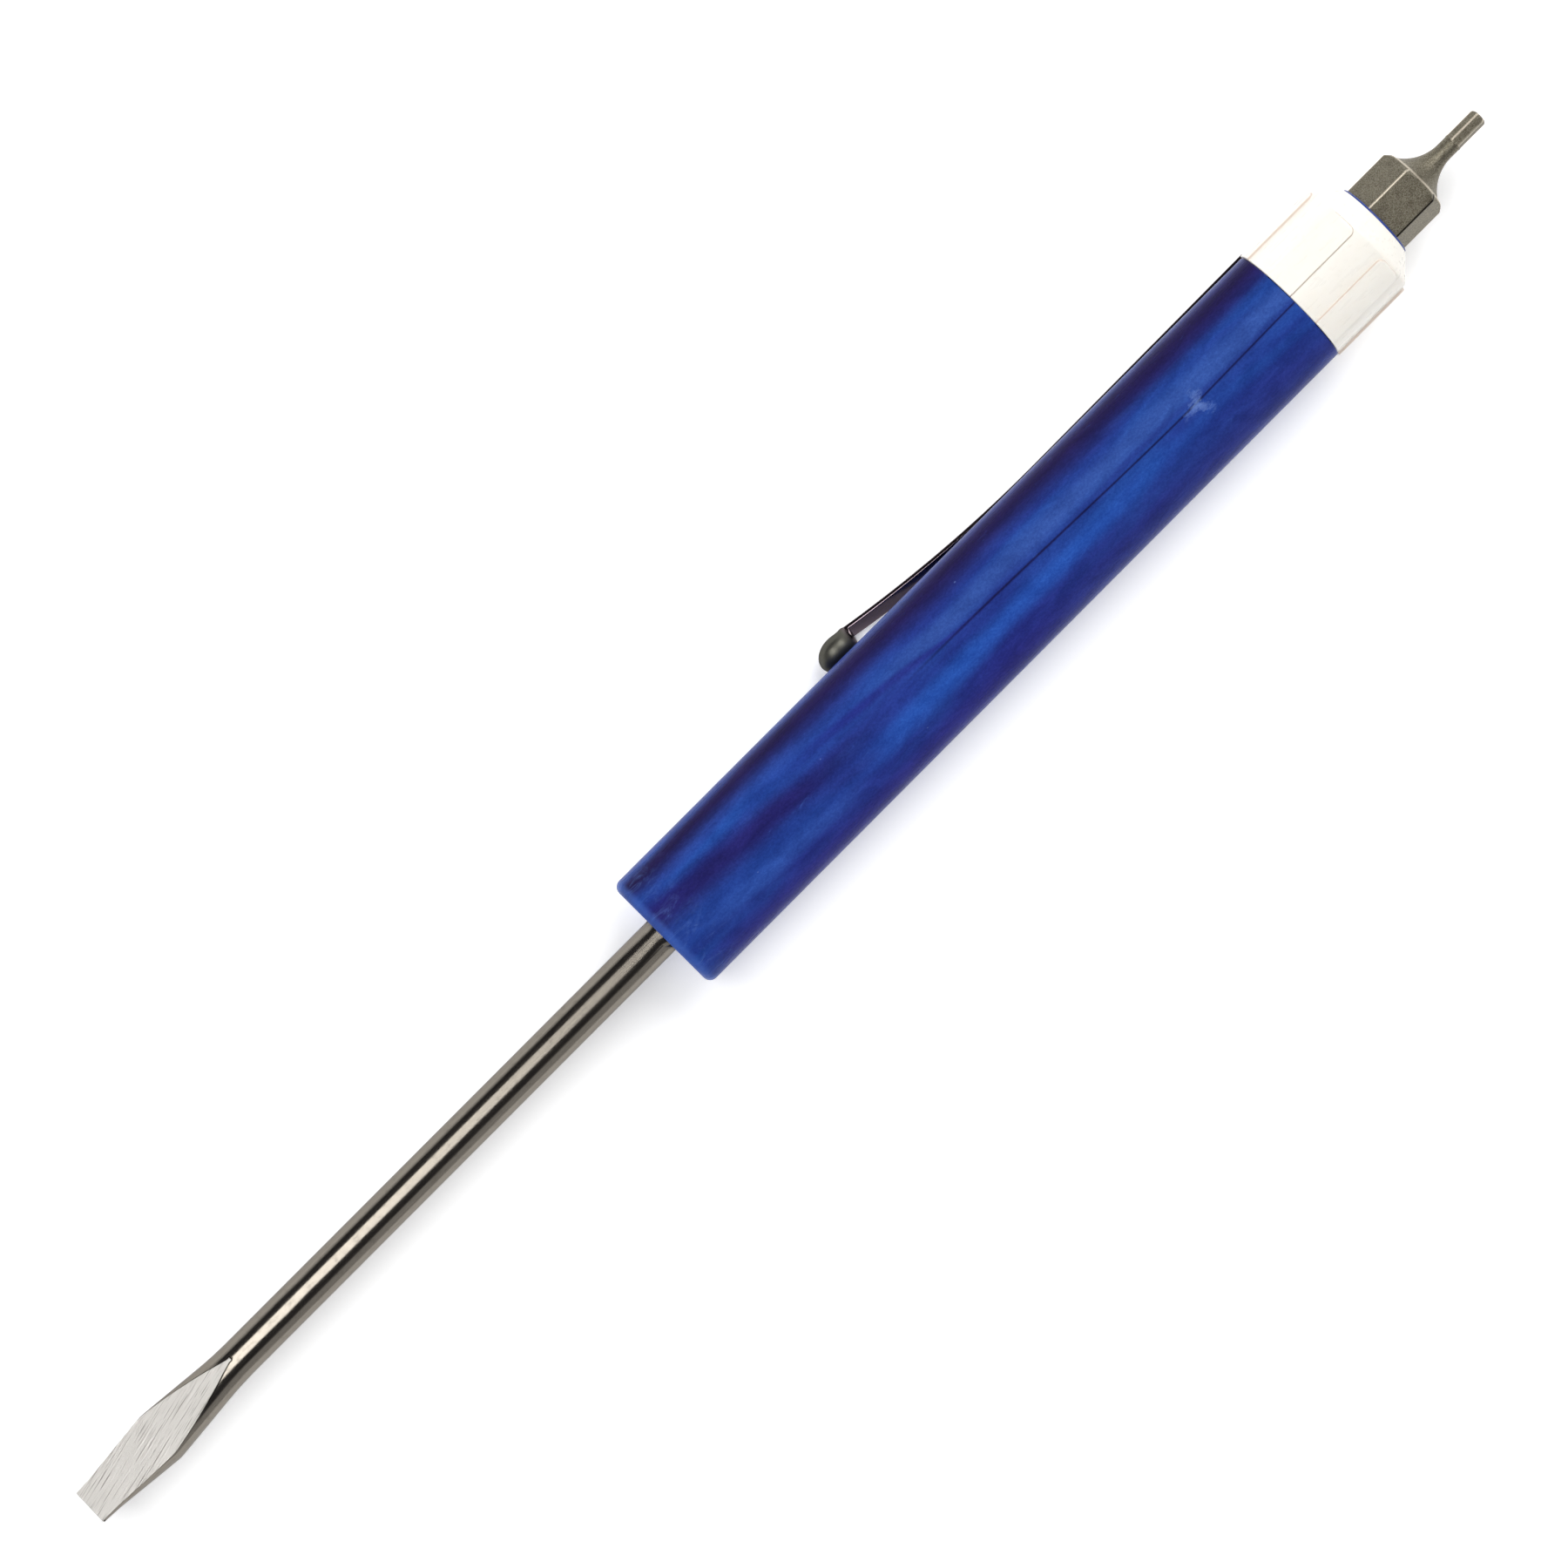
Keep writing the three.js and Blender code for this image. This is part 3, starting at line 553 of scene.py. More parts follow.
def burst_mask(finish):
    """A small pale feathered mark beside the knit line."""
    along = finish.math("SUBTRACT", finish.behind, BURST_BEHIND)
    across = finish.times(finish.math("SUBTRACT", finish.angle, BURST_ANGLE), BURST_PER_DEGREE)
    squares = [finish.math("POWER", value, 2.0) for value in (along, across)]
    away = finish.math("SQRT", finish.math("ADD", *squares))
    turn = finish.math("ARCTAN2", across, along)
    rays = finish.math("SINE", finish.linear(turn, BURST_RAYS, BURST_PHASE))
    feather = finish.grain(1.6, 3.2, 4.0, 0.7)
    ragged = finish.step(feather, 0.35, 0.65, -0.4, 0.5)
    reach = finish.math("ADD", finish.linear(rays, 0.6, 1.1), ragged)
    near = finish.step(finish.math("DIVIDE", away, reach), 1.1, 0.0)
    return finish.math("MULTIPLY", finish.times(near, feather), 0.85, clamp=True)


def collar_finish():
    """White moulded plastic, a little warm, with faint moulding ripple, patches of grime, and painted shade
    along the pads' walls.
    """
    finish = Finish("white_plastic")
    tone = finish.grain(0.25, 0.5, 3.0)
    color = finish.mix(tone, 0xF4EFE4, 0xFAF7F0)
    grime = finish.grain(1.6, 1.8, 4.0, 0.6)
    color = finish.mix(finish.step(grime, 0.52, 0.8, 0.0, 0.12), color, 0xD9CDBD)
    # Painted shade halfway up the pads' walls.
    color = finish.mix(finish.times(finish.stored("wall_shade"), 0.7), color, 0xC4A898)
    ripple = finish.grain(0.5, 2.4, 3.0)
    grain = finish.grain(9.0, 9.0, 2.0)
    height = finish.linear(grain, 0.25, finish.times(ripple, 0.75))
    return finish.done(
        Base_Color=color,
        Roughness=finish.step(ripple, 0.3, 0.7, 0.26, 0.36),
        IOR=1.5,
        Subsurface_Weight=0.12,
        Subsurface_Radius=(0.0012, 0.001, 0.0008),
        Normal=finish.bump(height, 0.015, 0.4),
    )


def plated_finish():
    """Dark nickel plate on the shaft, with ground bare steel on the flats of the tip, edged by a dark line
    that is partly burr and partly painted reflection.
    """
    finish = Finish("dark_nickel_plate")
    drawn = finish.grain(0.25, 9.0, 4.0, 0.6)
    mottle = finish.grain(1.2, 1.6, 5.0, 0.65)
    plate = finish.mix(drawn, 0x78726A, 0x8D877D)
    plate = finish.mix(finish.step(mottle, 0.5, 0.75, 0.0, 0.35), plate, 0x605A51)
    ground = finish.stored("ground")
    bare = finish.step(ground, 0.8, 0.98)
    lines = finish.noise(slanted_lines(finish), 1.0, 3.0, 0.6)
    steel = finish.mix(finish.step(lines, 0.37, 0.43), 0x85817B, 0xC2BFBA)
    # A dark line painted round the flats: the burr where plate meets ground steel, and a painted dark
    # reflection.
    plate = finish.mix(finish.step(ground, 0.1, 0.5), plate, 0x2E2A25)
    roughness = finish.step(finish.math("ADD", mottle, drawn), 0.6, 1.3, 0.15, 0.21)
    ground_roughness = finish.step(lines, 0.3, 0.7, 0.5, 0.38)
    plate_height = finish.linear(drawn, 0.4, finish.times(mottle, 0.6))
    plated = finish.math("SUBTRACT", 1.0, ground)
    plate_normal = finish.bump(finish.times(plate_height, plated), 0.008, 0.07)
    return finish.done(
        Base_Color=finish.mix(bare, plate, steel),
        Metallic=1.0,
        Roughness=finish.between(ground, roughness, ground_roughness),
        Specular_Tint=(0.6, 0.6, 0.6, 1),
        Normal=finish.bump(finish.times(lines, ground), 0.05, 0.55, plate_normal),
    )


def slanted_lines(finish):
    """A point stretched along the grinding lines, which cross the flats at a slant."""
    sine = sin(radians(GRIND_SLANT))
    cosine = cos(radians(GRIND_SLANT))
    along = finish.linear(finish.behind, cosine, finish.times(finish.side, sine))
    across = finish.linear(finish.side, cosine, finish.times(finish.behind, -sine))
    return finish.vector(finish.times(along, 0.22), finish.times(across, 12.0))


def bit_finish():
    """Bead-blasted grey tool steel, rubbed bright along its edges with a painted highlight there, and painted
    shade along one corner.
    """
    finish = Finish("blasted_steel")
    grain = finish.grain(9.0, 9.0, 4.0, 0.7)
    patches = finish.grain(1.0, 1.2, 5.0, 0.65)
    color = finish.mix(finish.step(grain, 0.35, 0.65), 0x5A5548, 0x8F8979)
    color = finish.mix(finish.step(patches, 0.45, 0.75, 0.0, 0.6), color, 0x565144)
    wear_glint_and_shade = finish.stored("wear_glint_and_shade")
    worn_and_glint = finish.math("MULTIPLY", wear_glint_and_shade, finish.step(grain, 0.3, 0.6, 0.5, 1.0), clamp=True)
    # Worn bright corners and shoulder, which also carry a painted highlight.
    color = finish.mix(worn_and_glint, color, 0xD8CDBA)
    # Painted shade along the one corner on the side turned from the light.
    color = finish.mix(finish.math("MULTIPLY", wear_glint_and_shade, -1.0, clamp=True), color, 0x1E1B16)
    return finish.done(
        Base_Color=color,
        Metallic=1.0,
        Roughness=finish.between(worn_and_glint, finish.step(patches, 0.3, 0.7, 0.52, 0.42), 0.28),
        Normal=finish.bump(grain, 0.035, 0.8),
    )


def chrome_finish():
    """Bright plated spring strip with faint rolling lines and pits, and its ball painted darker as a painted
    reflection of dark surroundings.
    """
    finish = Finish("bright_chrome")
    lines = finish.grain(0.3, 7.0, 3.0)
    pits = finish.grain(2.5, 2.5, 4.0, 0.7)
    color = finish.mix(lines, 0x665A60, 0x7A6D73)
    # Painted reflection: the ball is painted darker, standing for the dark surroundings that it reflects.
    ball = BARREL_LENGTH - CLIP_BALL_PLACE
    on_ball = finish.step(finish.behind, ball + 2.2, ball + 1.2)
    color = finish.mix(on_ball, color, 0x5A5952)
    height = finish.linear(pits, 0.7, finish.times(lines, 0.3))
    return finish.done(
        Base_Color=color,
        Metallic=1.0,
        Roughness=finish.between(on_ball, finish.step(pits, 0.4, 0.8, 0.08, 0.2), 0.42),
        Specular_Tint=(0.5, 0.5, 0.5, 1),
        Normal=finish.bump(height, 0.012, 0.35),
    )


def moulded_finish(name, dark, light, low_roughness, high_roughness):
    """Plain moulded plastic with a fine texture and a cloudy tone."""
    finish = Finish(name)
    cloud = finish.grain(0.6, 0.9, 4.0, 0.6)
    grain = finish.grain(7.0, 7.0, 3.0, 0.6)
    return finish.done(
        Base_Color=finish.mix(cloud, dark, light),
        Roughness=finish.step(cloud, 0.3, 0.7, low_roughness, high_roughness),
        Normal=finish.bump(grain, 0.01, 0.5),
    )


def bright_metal_finish(name, dark, light):
    """Plated or drawn metal with fine lines round it."""
    finish = Finish(name)
    lines = finish.grain(8.0, 1.0, 3.0)
    spots = finish.grain(1.5, 1.5, 4.0, 0.65)
    return finish.done(
        Base_Color=finish.mix(spots, dark, light),
        Metallic=1.0,
        Roughness=finish.step(spots, 0.3, 0.8, 0.18, 0.34),
        Normal=finish.bump(lines, 0.008, 0.4),
    )


BARREL_BLUE = barrel_finish()
COLLAR_WHITE = collar_finish()
BLADE_PLATE = plated_finish()
BIT_STEEL = bit_finish()
CLIP_CHROME = chrome_finish()
INSERT_BLACK = moulded_finish("black_acetal", 0x17181C, 0x26272D, 0.38, 0.52)
SOCKET_BLUE = moulded_finish("blue_moulding", 0x1B2F7E, 0x27459C, 0.34, 0.48)
MAGNET_NICKEL = bright_metal_finish("nickel_disc", 0x9B9C9E, 0xC8CACB)
RING_STEEL = bright_metal_finish("drawn_wire", 0x86837C, 0xB5B2AA)


# ---- Pieces ----


def make_barrel():
    seat = INSERT_RADIUS + CLEARANCE
    seat_end = INSERT_BACK + CLEARANCE
    socket_seat = SOCKET_RADIUS + CLEARANCE
    socket_end = SOCKET_BACK - CLEARANCE
    edge = BARREL_NOSE_RADIUS - BARREL_NOSE_ROUND
    top_edge = BARREL_TOP_RADIUS - BARREL_TOP_ROUND
    side = [
        (behind, lerp(BARREL_NOSE_RADIUS, BARREL_TOP_RADIUS, behind / BARREL_LENGTH))
        for behind in spread(BARREL_NOSE_ROUND, BARREL_LENGTH - BARREL_TOP_ROUND, 40)
    ]
    stations = [
        (0, seat),
        *arc(BARREL_NOSE_ROUND, edge, BARREL_NOSE_ROUND, 180, 90, 12)[:-1],
        *side[:-1],
        *arc(BARREL_LENGTH - BARREL_TOP_ROUND, top_edge, BARREL_TOP_ROUND, 90, 0, 5),
        (BARREL_LENGTH, socket_seat),
        (socket_end, socket_seat),
        (socket_end, BARREL_BORE_RADIUS),
        (seat_end, BARREL_BORE_RADIUS),
        (seat_end, seat),
    ]
    rings = turned(stations, all_round())
    tube_piece("barrel", rings, 0, True, "handle", BARREL_BLUE)


def box_radius(angle, half_width, half_height):
    """Radius of a rectangle round the axis."""
    turn = radians(angle)
    return min(half_width / max(abs(sin(turn)), TINY), half_height / max(abs(cos(turn)), TINY))


def slot_radius(angle):
    """Radius of the insert's hole with the slot across it."""
    return max(SHAFT_RADIUS + CLEARANCE, box_radius(angle, DRIVE_SLOT_HALF_WIDTH, DRIVE_SLOT_HALF_HEIGHT))


def make_drive_insert():
    hole = SHAFT_RADIUS + CLEARANCE
    meet = degrees(acos(DRIVE_SLOT_HALF_HEIGHT / hole))
    corner = degrees(atan2(DRIVE_SLOT_HALF_WIDTH, DRIVE_SLOT_HALF_HEIGHT))
    angles = mirrored(stretches(0, 24, meet, 6, corner, 8, 90))
    slot_end = INSERT_FRONT + DRIVE_SLOT_DEPTH
    edge = 0.08
    stations = [
        (INSERT_FRONT + edge, slot_radius),
        (INSERT_FRONT, lambda angle: slot_radius(angle) + edge),
        (INSERT_FRONT, INSERT_RADIUS - INSERT_CHAMFER),
        (INSERT_FRONT + INSERT_CHAMFER, INSERT_RADIUS),
        (INSERT_BACK - INSERT_CHAMFER, INSERT_RADIUS),
        (INSERT_BACK, INSERT_RADIUS - INSERT_CHAMFER),
        (INSERT_BACK, hole),
        (RING_GROOVE[1], hole),
        (RING_GROOVE[1], RING_GROOVE_RADIUS),
        (RING_GROOVE[0], RING_GROOVE_RADIUS),
        (RING_GROOVE[0], hole),
        (slot_end, hole),
        (slot_end, slot_radius),
    ]
    rings = turned(stations, angles)
    tube_piece("drive_insert", rings, BLADE_TURN, True, "handle", INSERT_BLACK)


def spade_outline(along):
    """Half the width of the blade at a distance from its tip."""
    flare = SPADE_FLARE_START - SPADE_SHOULDER
    rise = lerp(TIP_HALF_WIDTH, SPADE_HALF_WIDTH, along / SPADE_SHOULDER)
    fall = lerp(SPADE_HALF_WIDTH, SHAFT_RADIUS, (along - SPADE_SHOULDER) / flare)
    return soft_max(soft_min(rise, fall, SPADE_SHOULDER_BLEND), SHAFT_RADIUS, SPADE_NECK_BLEND)


def flat_height(along):
    """Half the distance between the flats, which run out on the shaft in a curve."""
    rise = (SHAFT_RADIUS - TIP_HALF_THICKNESS) / SPADE_FLAT_LENGTH
    return soft_min(TIP_HALF_THICKNESS + rise * along, SHAFT_RADIUS, rise * SPADE_RUN_OUT)


def spade_ring(along, shrink=0.0):
    """The blade's section near its tip: the shaft, forged wider and a little square, and cut by two flats."""
    half_width = spade_outline(along) - shrink
    half_height = SHAFT_RADIUS - shrink
    widened = (half_width - SHAFT_RADIUS) / (SPADE_HALF_WIDTH - SHAFT_RADIUS)
    power = lerp(2.0, SPADE_SQUARENESS, smooth(widened))
    flat = flat_height(along) - shrink
    behind_flats = along - SPADE_FLAT_LENGTH - SPADE_RUN_OUT
    split = lerp(SPADE_LEAST_SPLIT, 45, smooth(behind_flats / SPADE_FADE))
    if flat < half_height:
        flat_half_width = half_width * (1 - (flat / half_height) ** power) ** (1 / power)
        split = max(split, degrees(atan2(flat_half_width, flat)))

    def radius(angle):
        across = abs(sin(radians(angle)))
        up = abs(cos(radians(angle)))
        outline = ((across / half_width) ** power + (up / half_height) ** power) ** (-1 / power)
        return min(outline, flat / max(up, TINY))

    # The first stretch of a quarter is evenly spaced across the flat.
    reach = tan(radians(split))
    across_flat = [degrees(atan(reach * step / QUARTER_STEPS)) for step in range(QUARTER_STEPS)]
    angles = mirrored(across_flat + spread(split, 90, QUARTER_STEPS))
    return ring(BLADE_TIP + along, radius, angles)


def wing_ring(behind):
    """The blade's section through its two driving wings."""
    into = WING_LENGTH / 2 - abs(behind - WING_MIDDLE)
    cut = WING_CORNER - sqrt(max(0.0, WING_CORNER**2 - max(0.0, WING_CORNER - into) ** 2))
    reach = WING_HALF_SPAN - cut
    meet = degrees(acos(WING_HALF_THICKNESS / SHAFT_RADIUS))
    corner = degrees(atan2(reach, WING_HALF_THICKNESS))
    half = QUARTER_STEPS // 2
    angles = mirrored(stretches(0, QUARTER_STEPS, meet, half, corner, half, 90))

    def radius(angle):
        return max(SHAFT_RADIUS, box_radius(angle, reach, WING_HALF_THICKNESS))

    return ring(behind, radius, angles)


def cross_ring(behind):
    """The blade's section at its cross tip, with four flutes."""
    share = (behind - (BLADE_BACK - CROSS_FLUTE_LENGTH)) / CROSS_FLUTE_LENGTH
    to_end = BLADE_BACK - behind
    cone = lerp(CROSS_POINT_RADIUS, SHAFT_RADIUS, min(1.0, to_end / CROSS_CONE_LENGTH))
    floor = lerp(SHAFT_RADIUS + CLEARANCE, CROSS_FLOOR_START, max(0.0, share))
    corner = degrees(acos(min(1.0, CROSS_WEB / cone / sqrt(2)))) - 45
    split = max(CROSS_LEAST_SPLIT, corner)
    half = QUARTER_STEPS // 2

    def radius(angle):
        fold = abs((angle + 45) % 90 - 45)
        turn = radians(fold)
        side = CROSS_WEB / max(cos(turn) - sin(turn), TINY)
        return min(cone, max(side, floor / cos(turn)))

    return ring(behind, radius, mirrored(stretches(0, half, split, half, 45)))


def even_ring(behind):
    """The blade's plain round section."""
    return ring(behind, SHAFT_RADIUS, mirrored(spread(0, 90, 2 * QUARTER_STEPS)))


def round_like(points):
    """The blade's plain round section with the angles of another ring."""
    return [(behind, SHAFT_RADIUS, angle) for behind, _, angle in points]


def make_blade():
    spade_end = SPADE_FLAT_LENGTH + SPADE_RUN_OUT + SPADE_FADE
    wing_front = WING_MIDDLE - WING_LENGTH / 2
    wing_back = WING_MIDDLE + WING_LENGTH / 2
    flute_start = BLADE_BACK - CROSS_FLUTE_LENGTH
    wings = [wing_front + WING_CORNER * (1 - sqrt(1 - share * share)) for share in spread(0, 1, 6)]
    wings += [wing_back + wing_front - behind for behind in reversed(wings)]
    rings = [
        [(BLADE_TIP, 0, 0)],
        spade_ring(0, TIP_EDGE),
        *[spade_ring(along) for along in spread(TIP_EDGE, spade_end, 90)],
        *[even_ring(behind) for behind in spread(BLADE_TIP + spade_end, wing_front - 1, 16)[1:]],
        round_like(wing_ring(wing_front)),
        *[wing_ring(behind) for behind in wings],
        round_like(wing_ring(wing_back)),
        *[even_ring(behind) for behind in spread(wing_back + 1, flute_start - 1, 20)],
        *[cross_ring(behind) for behind in spread(flute_start, BLADE_BACK, 40)],
        [(BLADE_BACK, 0, 0)],
    ]
    piece = tube_piece("blade", rings, BLADE_TURN, False, "blade", BLADE_PLATE)
    paint_points(piece, "ground", blade_ground)


def turned_back(point, turn):
    """A point of the frame as (behind, across, up) in millimetres, with a piece's turn taken off."""
    sine = sin(radians(turn))
    cosine = cos(radians(turn))
    side = (AXIS_Y - point.y) / MM
    up = (point.z - AXIS_Z) / MM
    return (NOSE_X - point.x) / MM, side * cosine - up * sine, side * sine + up * cosine


def paint_points(piece, name, value):
    """Stores a number on each point of a piece, for its material to read."""
    layer = piece.data.attributes.new(name, "FLOAT", "POINT")
    for point, item in zip(piece.data.vertices, layer.data):
        item.value = value(point.co)


def blade_ground(point):
    """1 on the flats and on the tip, which are bare ground steel."""
    behind, _, up = turned_back(point, BLADE_TURN)
    along = behind - BLADE_TIP
    at_flat = abs(abs(up) - flat_height(along)) < FLAT_TOLERANCE
    on_flat = along < SPADE_FLAT_LENGTH + SPADE_RUN_OUT and at_flat
    return 1.0 if on_flat or along < 2 * TIP_EDGE else 0.0


def hex_radius(half_flats, round_blend):
    """Radius of a hexagon with one corner at angle 0 and slightly rounded corners."""

    def radius(angle):
        fold = radians((angle % 60) - 30)
        flat = half_flats / cos(fold)
        corner = half_flats / cos(radians(30)) - round_blend / 2
        return soft_min(flat, corner, round_blend)

    return radius


HEX_ANGLES = mirrored(CORNER_ANGLES)


def make_bit_socket():
    floor_front = MAGNET_BACK - CLEARANCE
    guide_end = floor_front - SOCKET_FLOOR
    pocket = MAGNET_RADIUS + CLEARANCE
    step = SOCKET_MOUTH - SOCKET_STEP_LENGTH
    hexagon = hex_radius(SOCKET_HALF_FLATS, SOCKET_CORNER_BLEND)
    mouth_edge = SOCKET_MOUTH_RADIUS - SOCKET_EDGE
    stations = [
        (guide_end, 0),
        (guide_end, SOCKET_GUIDE_RADIUS),
        (SOCKET_BACK, SOCKET_GUIDE_RADIUS),
        (SOCKET_BACK, SOCKET_RADIUS),
        (step, SOCKET_RADIUS),
        (step, SOCKET_MOUTH_RADIUS),
        *arc(SOCKET_MOUTH - SOCKET_EDGE, mouth_edge, SOCKET_EDGE, 90, 0, 5),
        (SOCKET_MOUTH, lambda angle: min(hexagon(angle) + SOCKET_LEAD, mouth_edge - 0.01)),
        (SOCKET_MOUTH - SOCKET_LEAD, hexagon),
        (BIT_BACK - CLEARANCE, hexagon),
        (BIT_BACK - CLEARANCE, pocket),
        (floor_front, pocket),
        (floor_front, 0),
    ]
    rings = turned(stations, HEX_ANGLES)
    tube_piece("bit_socket", rings, HEX_TURN, False, "handle", SOCKET_BLUE)


def make_magnet():
    edge = MAGNET_RADIUS - MAGNET_CHAMFER
    stations = [
        (MAGNET_BACK, 0),
        (MAGNET_BACK, edge),
        *arc(MAGNET_BACK + MAGNET_CHAMFER, edge, MAGNET_CHAMFER, 180, 90, 5),
        *arc(MAGNET_FRONT - MAGNET_CHAMFER, edge, MAGNET_CHAMFER, 90, 0, 5),
        (MAGNET_FRONT, 0),
    ]
    rings = turned(stations, all_round(96))
    tube_piece("magnet", rings, 0, False, "handle", MAGNET_NICKEL)


def pad_height(behind, angle):
    """How high a place on the collar is, from 0 on its ring to 1 on a pad."""
    fold = radians(abs((angle + 30) % 60 - 30))
    past_front = max(0.0, behind - COLLAR_PAD_END + COLLAR_PAD_CORNER)
    across = COLLAR_PAD_RADIUS * sin(fold)
    past_side = max(0.0, across - COLLAR_PAD_HALF_WIDTH + COLLAR_PAD_CORNER)
    inside = COLLAR_PAD_CORNER - hypot(past_front, past_side)
    return smooth(inside / COLLAR_PAD_WALL)


def make_collar():
    insets = (COLLAR_PAD_CORNER, COLLAR_PAD_WALL, 0)
    corner, wall, foot = [
        degrees(asin((COLLAR_PAD_HALF_WIDTH - inset) / COLLAR_PAD_RADIUS)) for inset in insets
    ]
    sector = stretches(0, 4, corner, 8, wall, 6, foot, 7, 30)
    notch_middle = CLIP_TURN - COLLAR_TURN
    notch_sides = [notch_middle + side * COLLAR_NOTCH_HALF_ANGLE for side in (-1, 1)]
    notch_walls = [side + step for side in notch_sides for step in (-COLLAR_NOTCH_WALL, COLLAR_NOTCH_WALL)]
    angles = sorted(mirrored(sector) + notch_walls)
    ring_seat = CLIP_RING_FRONT + CLEARANCE
    notch_end = ring_seat + COLLAR_NOTCH_ROOM

    def back_edge(angle):
        in_notch = abs(angle - notch_middle) < COLLAR_NOTCH_HALF_ANGLE
        return notch_end if in_notch else COLLAR_BACK

    def seat_edge(angle):
        return max(back_edge(angle), ring_seat)

    step = SOCKET_MOUTH - SOCKET_STEP_LENGTH + CLEARANCE
    socket_hole = SOCKET_RADIUS + CLEARANCE
    ring_hole = CLIP_RING_RADIUS + CLEARANCE
    mouth_lip = COLLAR_PAD_RADIUS - COLLAR_CHAMFER

    def outside(behind):
        """The collar's radius outside, where the chamfer cuts both the pads and the ring."""
        chamfer = mouth_lip + COLLAR_MOUTH - behind
        depth = COLLAR_PAD_RADIUS - COLLAR_RING_RADIUS

        def radius(angle):
            side = COLLAR_RING_RADIUS + depth * pad_height(behind, angle)
            return soft_min(side, chamfer, COLLAR_CHAMFER_BLEND)

        return behind, radius

    pad_corner = COLLAR_PAD_END - COLLAR_PAD_CORNER
    past_pads = COLLAR_PAD_END + 0.4
    _, back_outside = outside(COLLAR_BACK)
    stations = [
        (seat_edge, ring_hole),
        (back_edge, ring_hole),
        (back_edge, lambda angle: back_outside(angle) - COLLAR_BACK_EDGE),
        (lambda angle: back_edge(angle) + COLLAR_BACK_EDGE, back_outside),
        *[outside(behind) for behind in spread(COLLAR_BACK + 0.7, pad_corner, 8)],
        *[outside(behind) for behind in spread(pad_corner, past_pads, 36)[1:]],
        *[outside(behind) for behind in spread(past_pads, COLLAR_MOUTH - COLLAR_MOUTH_EDGE, 10)[1:]],
        # The thin rounded rim of the mouth.
        (COLLAR_MOUTH - 0.02, mouth_lip + 0.04),
        (COLLAR_MOUTH, COLLAR_MOUTH_RADIUS + 0.03),
        (COLLAR_MOUTH - 0.05, COLLAR_MOUTH_RADIUS),
        (step, COLLAR_MOUTH_RADIUS),
        (step, socket_hole),
        # A small chamfer round the back of the hole.
        (lambda angle: seat_edge(angle) + 0.02, socket_hole),
        (seat_edge, socket_hole + 0.02),
    ]
    rings = turned(stations, angles)
    piece = tube_piece("collar", rings, COLLAR_TURN, True, "handle", COLLAR_WHITE)
    paint_points(piece, "wall_shade", collar_wall_shade)


def collar_wall_shade(point):
    """Where shade is painted on the collar: 1 halfway up a pad's wall, and 0 on the pads and on the ring away
    from them.
    """
    behind, across, up = turned_back(point, COLLAR_TURN)
    if behind > COLLAR_PAD_END + 0.5:
        return 0.0
    height = pad_height(behind, degrees(atan2(across, up)))
    return 4 * height * (1 - height)


def make_clip_ring():
    hole = SOCKET_RADIUS + CLEARANCE
    half = CLIP_ROOT_WIDTH / 2
    meet = degrees(asin(half / CLIP_RING_RADIUS))
    corner = degrees(atan2(half, CLIP_TAB_REACH))
    angles = mirrored(stretches(0, 6, corner, 3, meet, 80, 180))
    edge = 0.06

    def outside(inset):
        def radius(angle):
            turn = radians(angle)
            side = half / max(abs(sin(turn)), TINY)
            end = CLIP_TAB_REACH / cos(turn) if cos(turn) > 0.5 else 0.0
            return max(CLIP_RING_RADIUS, min(side, end)) - inset

        return radius

    stations = [
        (CLIP_RING_BACK + edge, hole),
        (CLIP_RING_BACK, hole + edge),
        (CLIP_RING_BACK, outside(edge)),
        (CLIP_RING_BACK + edge, outside(0)),
        (CLIP_RING_FRONT - edge, outside(0)),
        (CLIP_RING_FRONT, outside(edge)),
        (CLIP_RING_FRONT, hole + edge),
        (CLIP_RING_FRONT - edge, hole),
    ]
    rings = turned(stations, angles)
    tube_piece("clip_ring", rings, CLIP_TURN, True, "handle", CLIP_CHROME)


def arm_height(along):
    """Radius of the underside of the clip's arm at a distance from the barrel's end."""
    share = max(0.0, along - CLIP_BOW_START) / (CLIP_BALL_PLACE - CLIP_BOW_START)
    return CLIP_UNDERSIDE + CLIP_BOW_HEIGHT * share * share


def arm_half_width(along):
    """Half the width of the clip's strip at a distance from the barrel's end."""
    if along < CLIP_BOW_START:
        return lerp(CLIP_ROOT_WIDTH, CLIP_MIDDLE_WIDTH, max(0.0, along) / CLIP_BOW_START) / 2
    share = (along - CLIP_BOW_START) / (CLIP_BALL_PLACE - CLIP_BOW_START)
    return lerp(CLIP_MIDDLE_WIDTH, CLIP_NECK_WIDTH, min(1.0, share)) / 2


def strip_section(thickness):
    """Points of a flat strip with round edges, as (across, up) from -1 to 1, for a thickness per width."""
    edge = STRIP_ROUND * thickness
    points = []
    for side, top, start in ((1, 1, 0), (-1, 1, 90), (-1, -1, 180), (1, -1, 270)):
        for angle in spread(start, start + 90, 5):
            turn = radians(angle)
            across = side * (1 - edge) + edge * cos(turn)
            up = top * (1 - STRIP_ROUND) + STRIP_ROUND * sin(turn)
            points.append((across, up))
    return refine(points, 0.12)


def refine(points, most):
    """Adds points along the long sides of a closed section, so that none is longer than a limit."""
    made = []
    for one, other in zip(points, points[1:] + points[:1]):
        shares = spread(0, 1, max(1, ceil(dist(one, other) / most)))[:-1]
        made += [(lerp(one[0], other[0], share), lerp(one[1], other[1], share)) for share in shares]
    return made


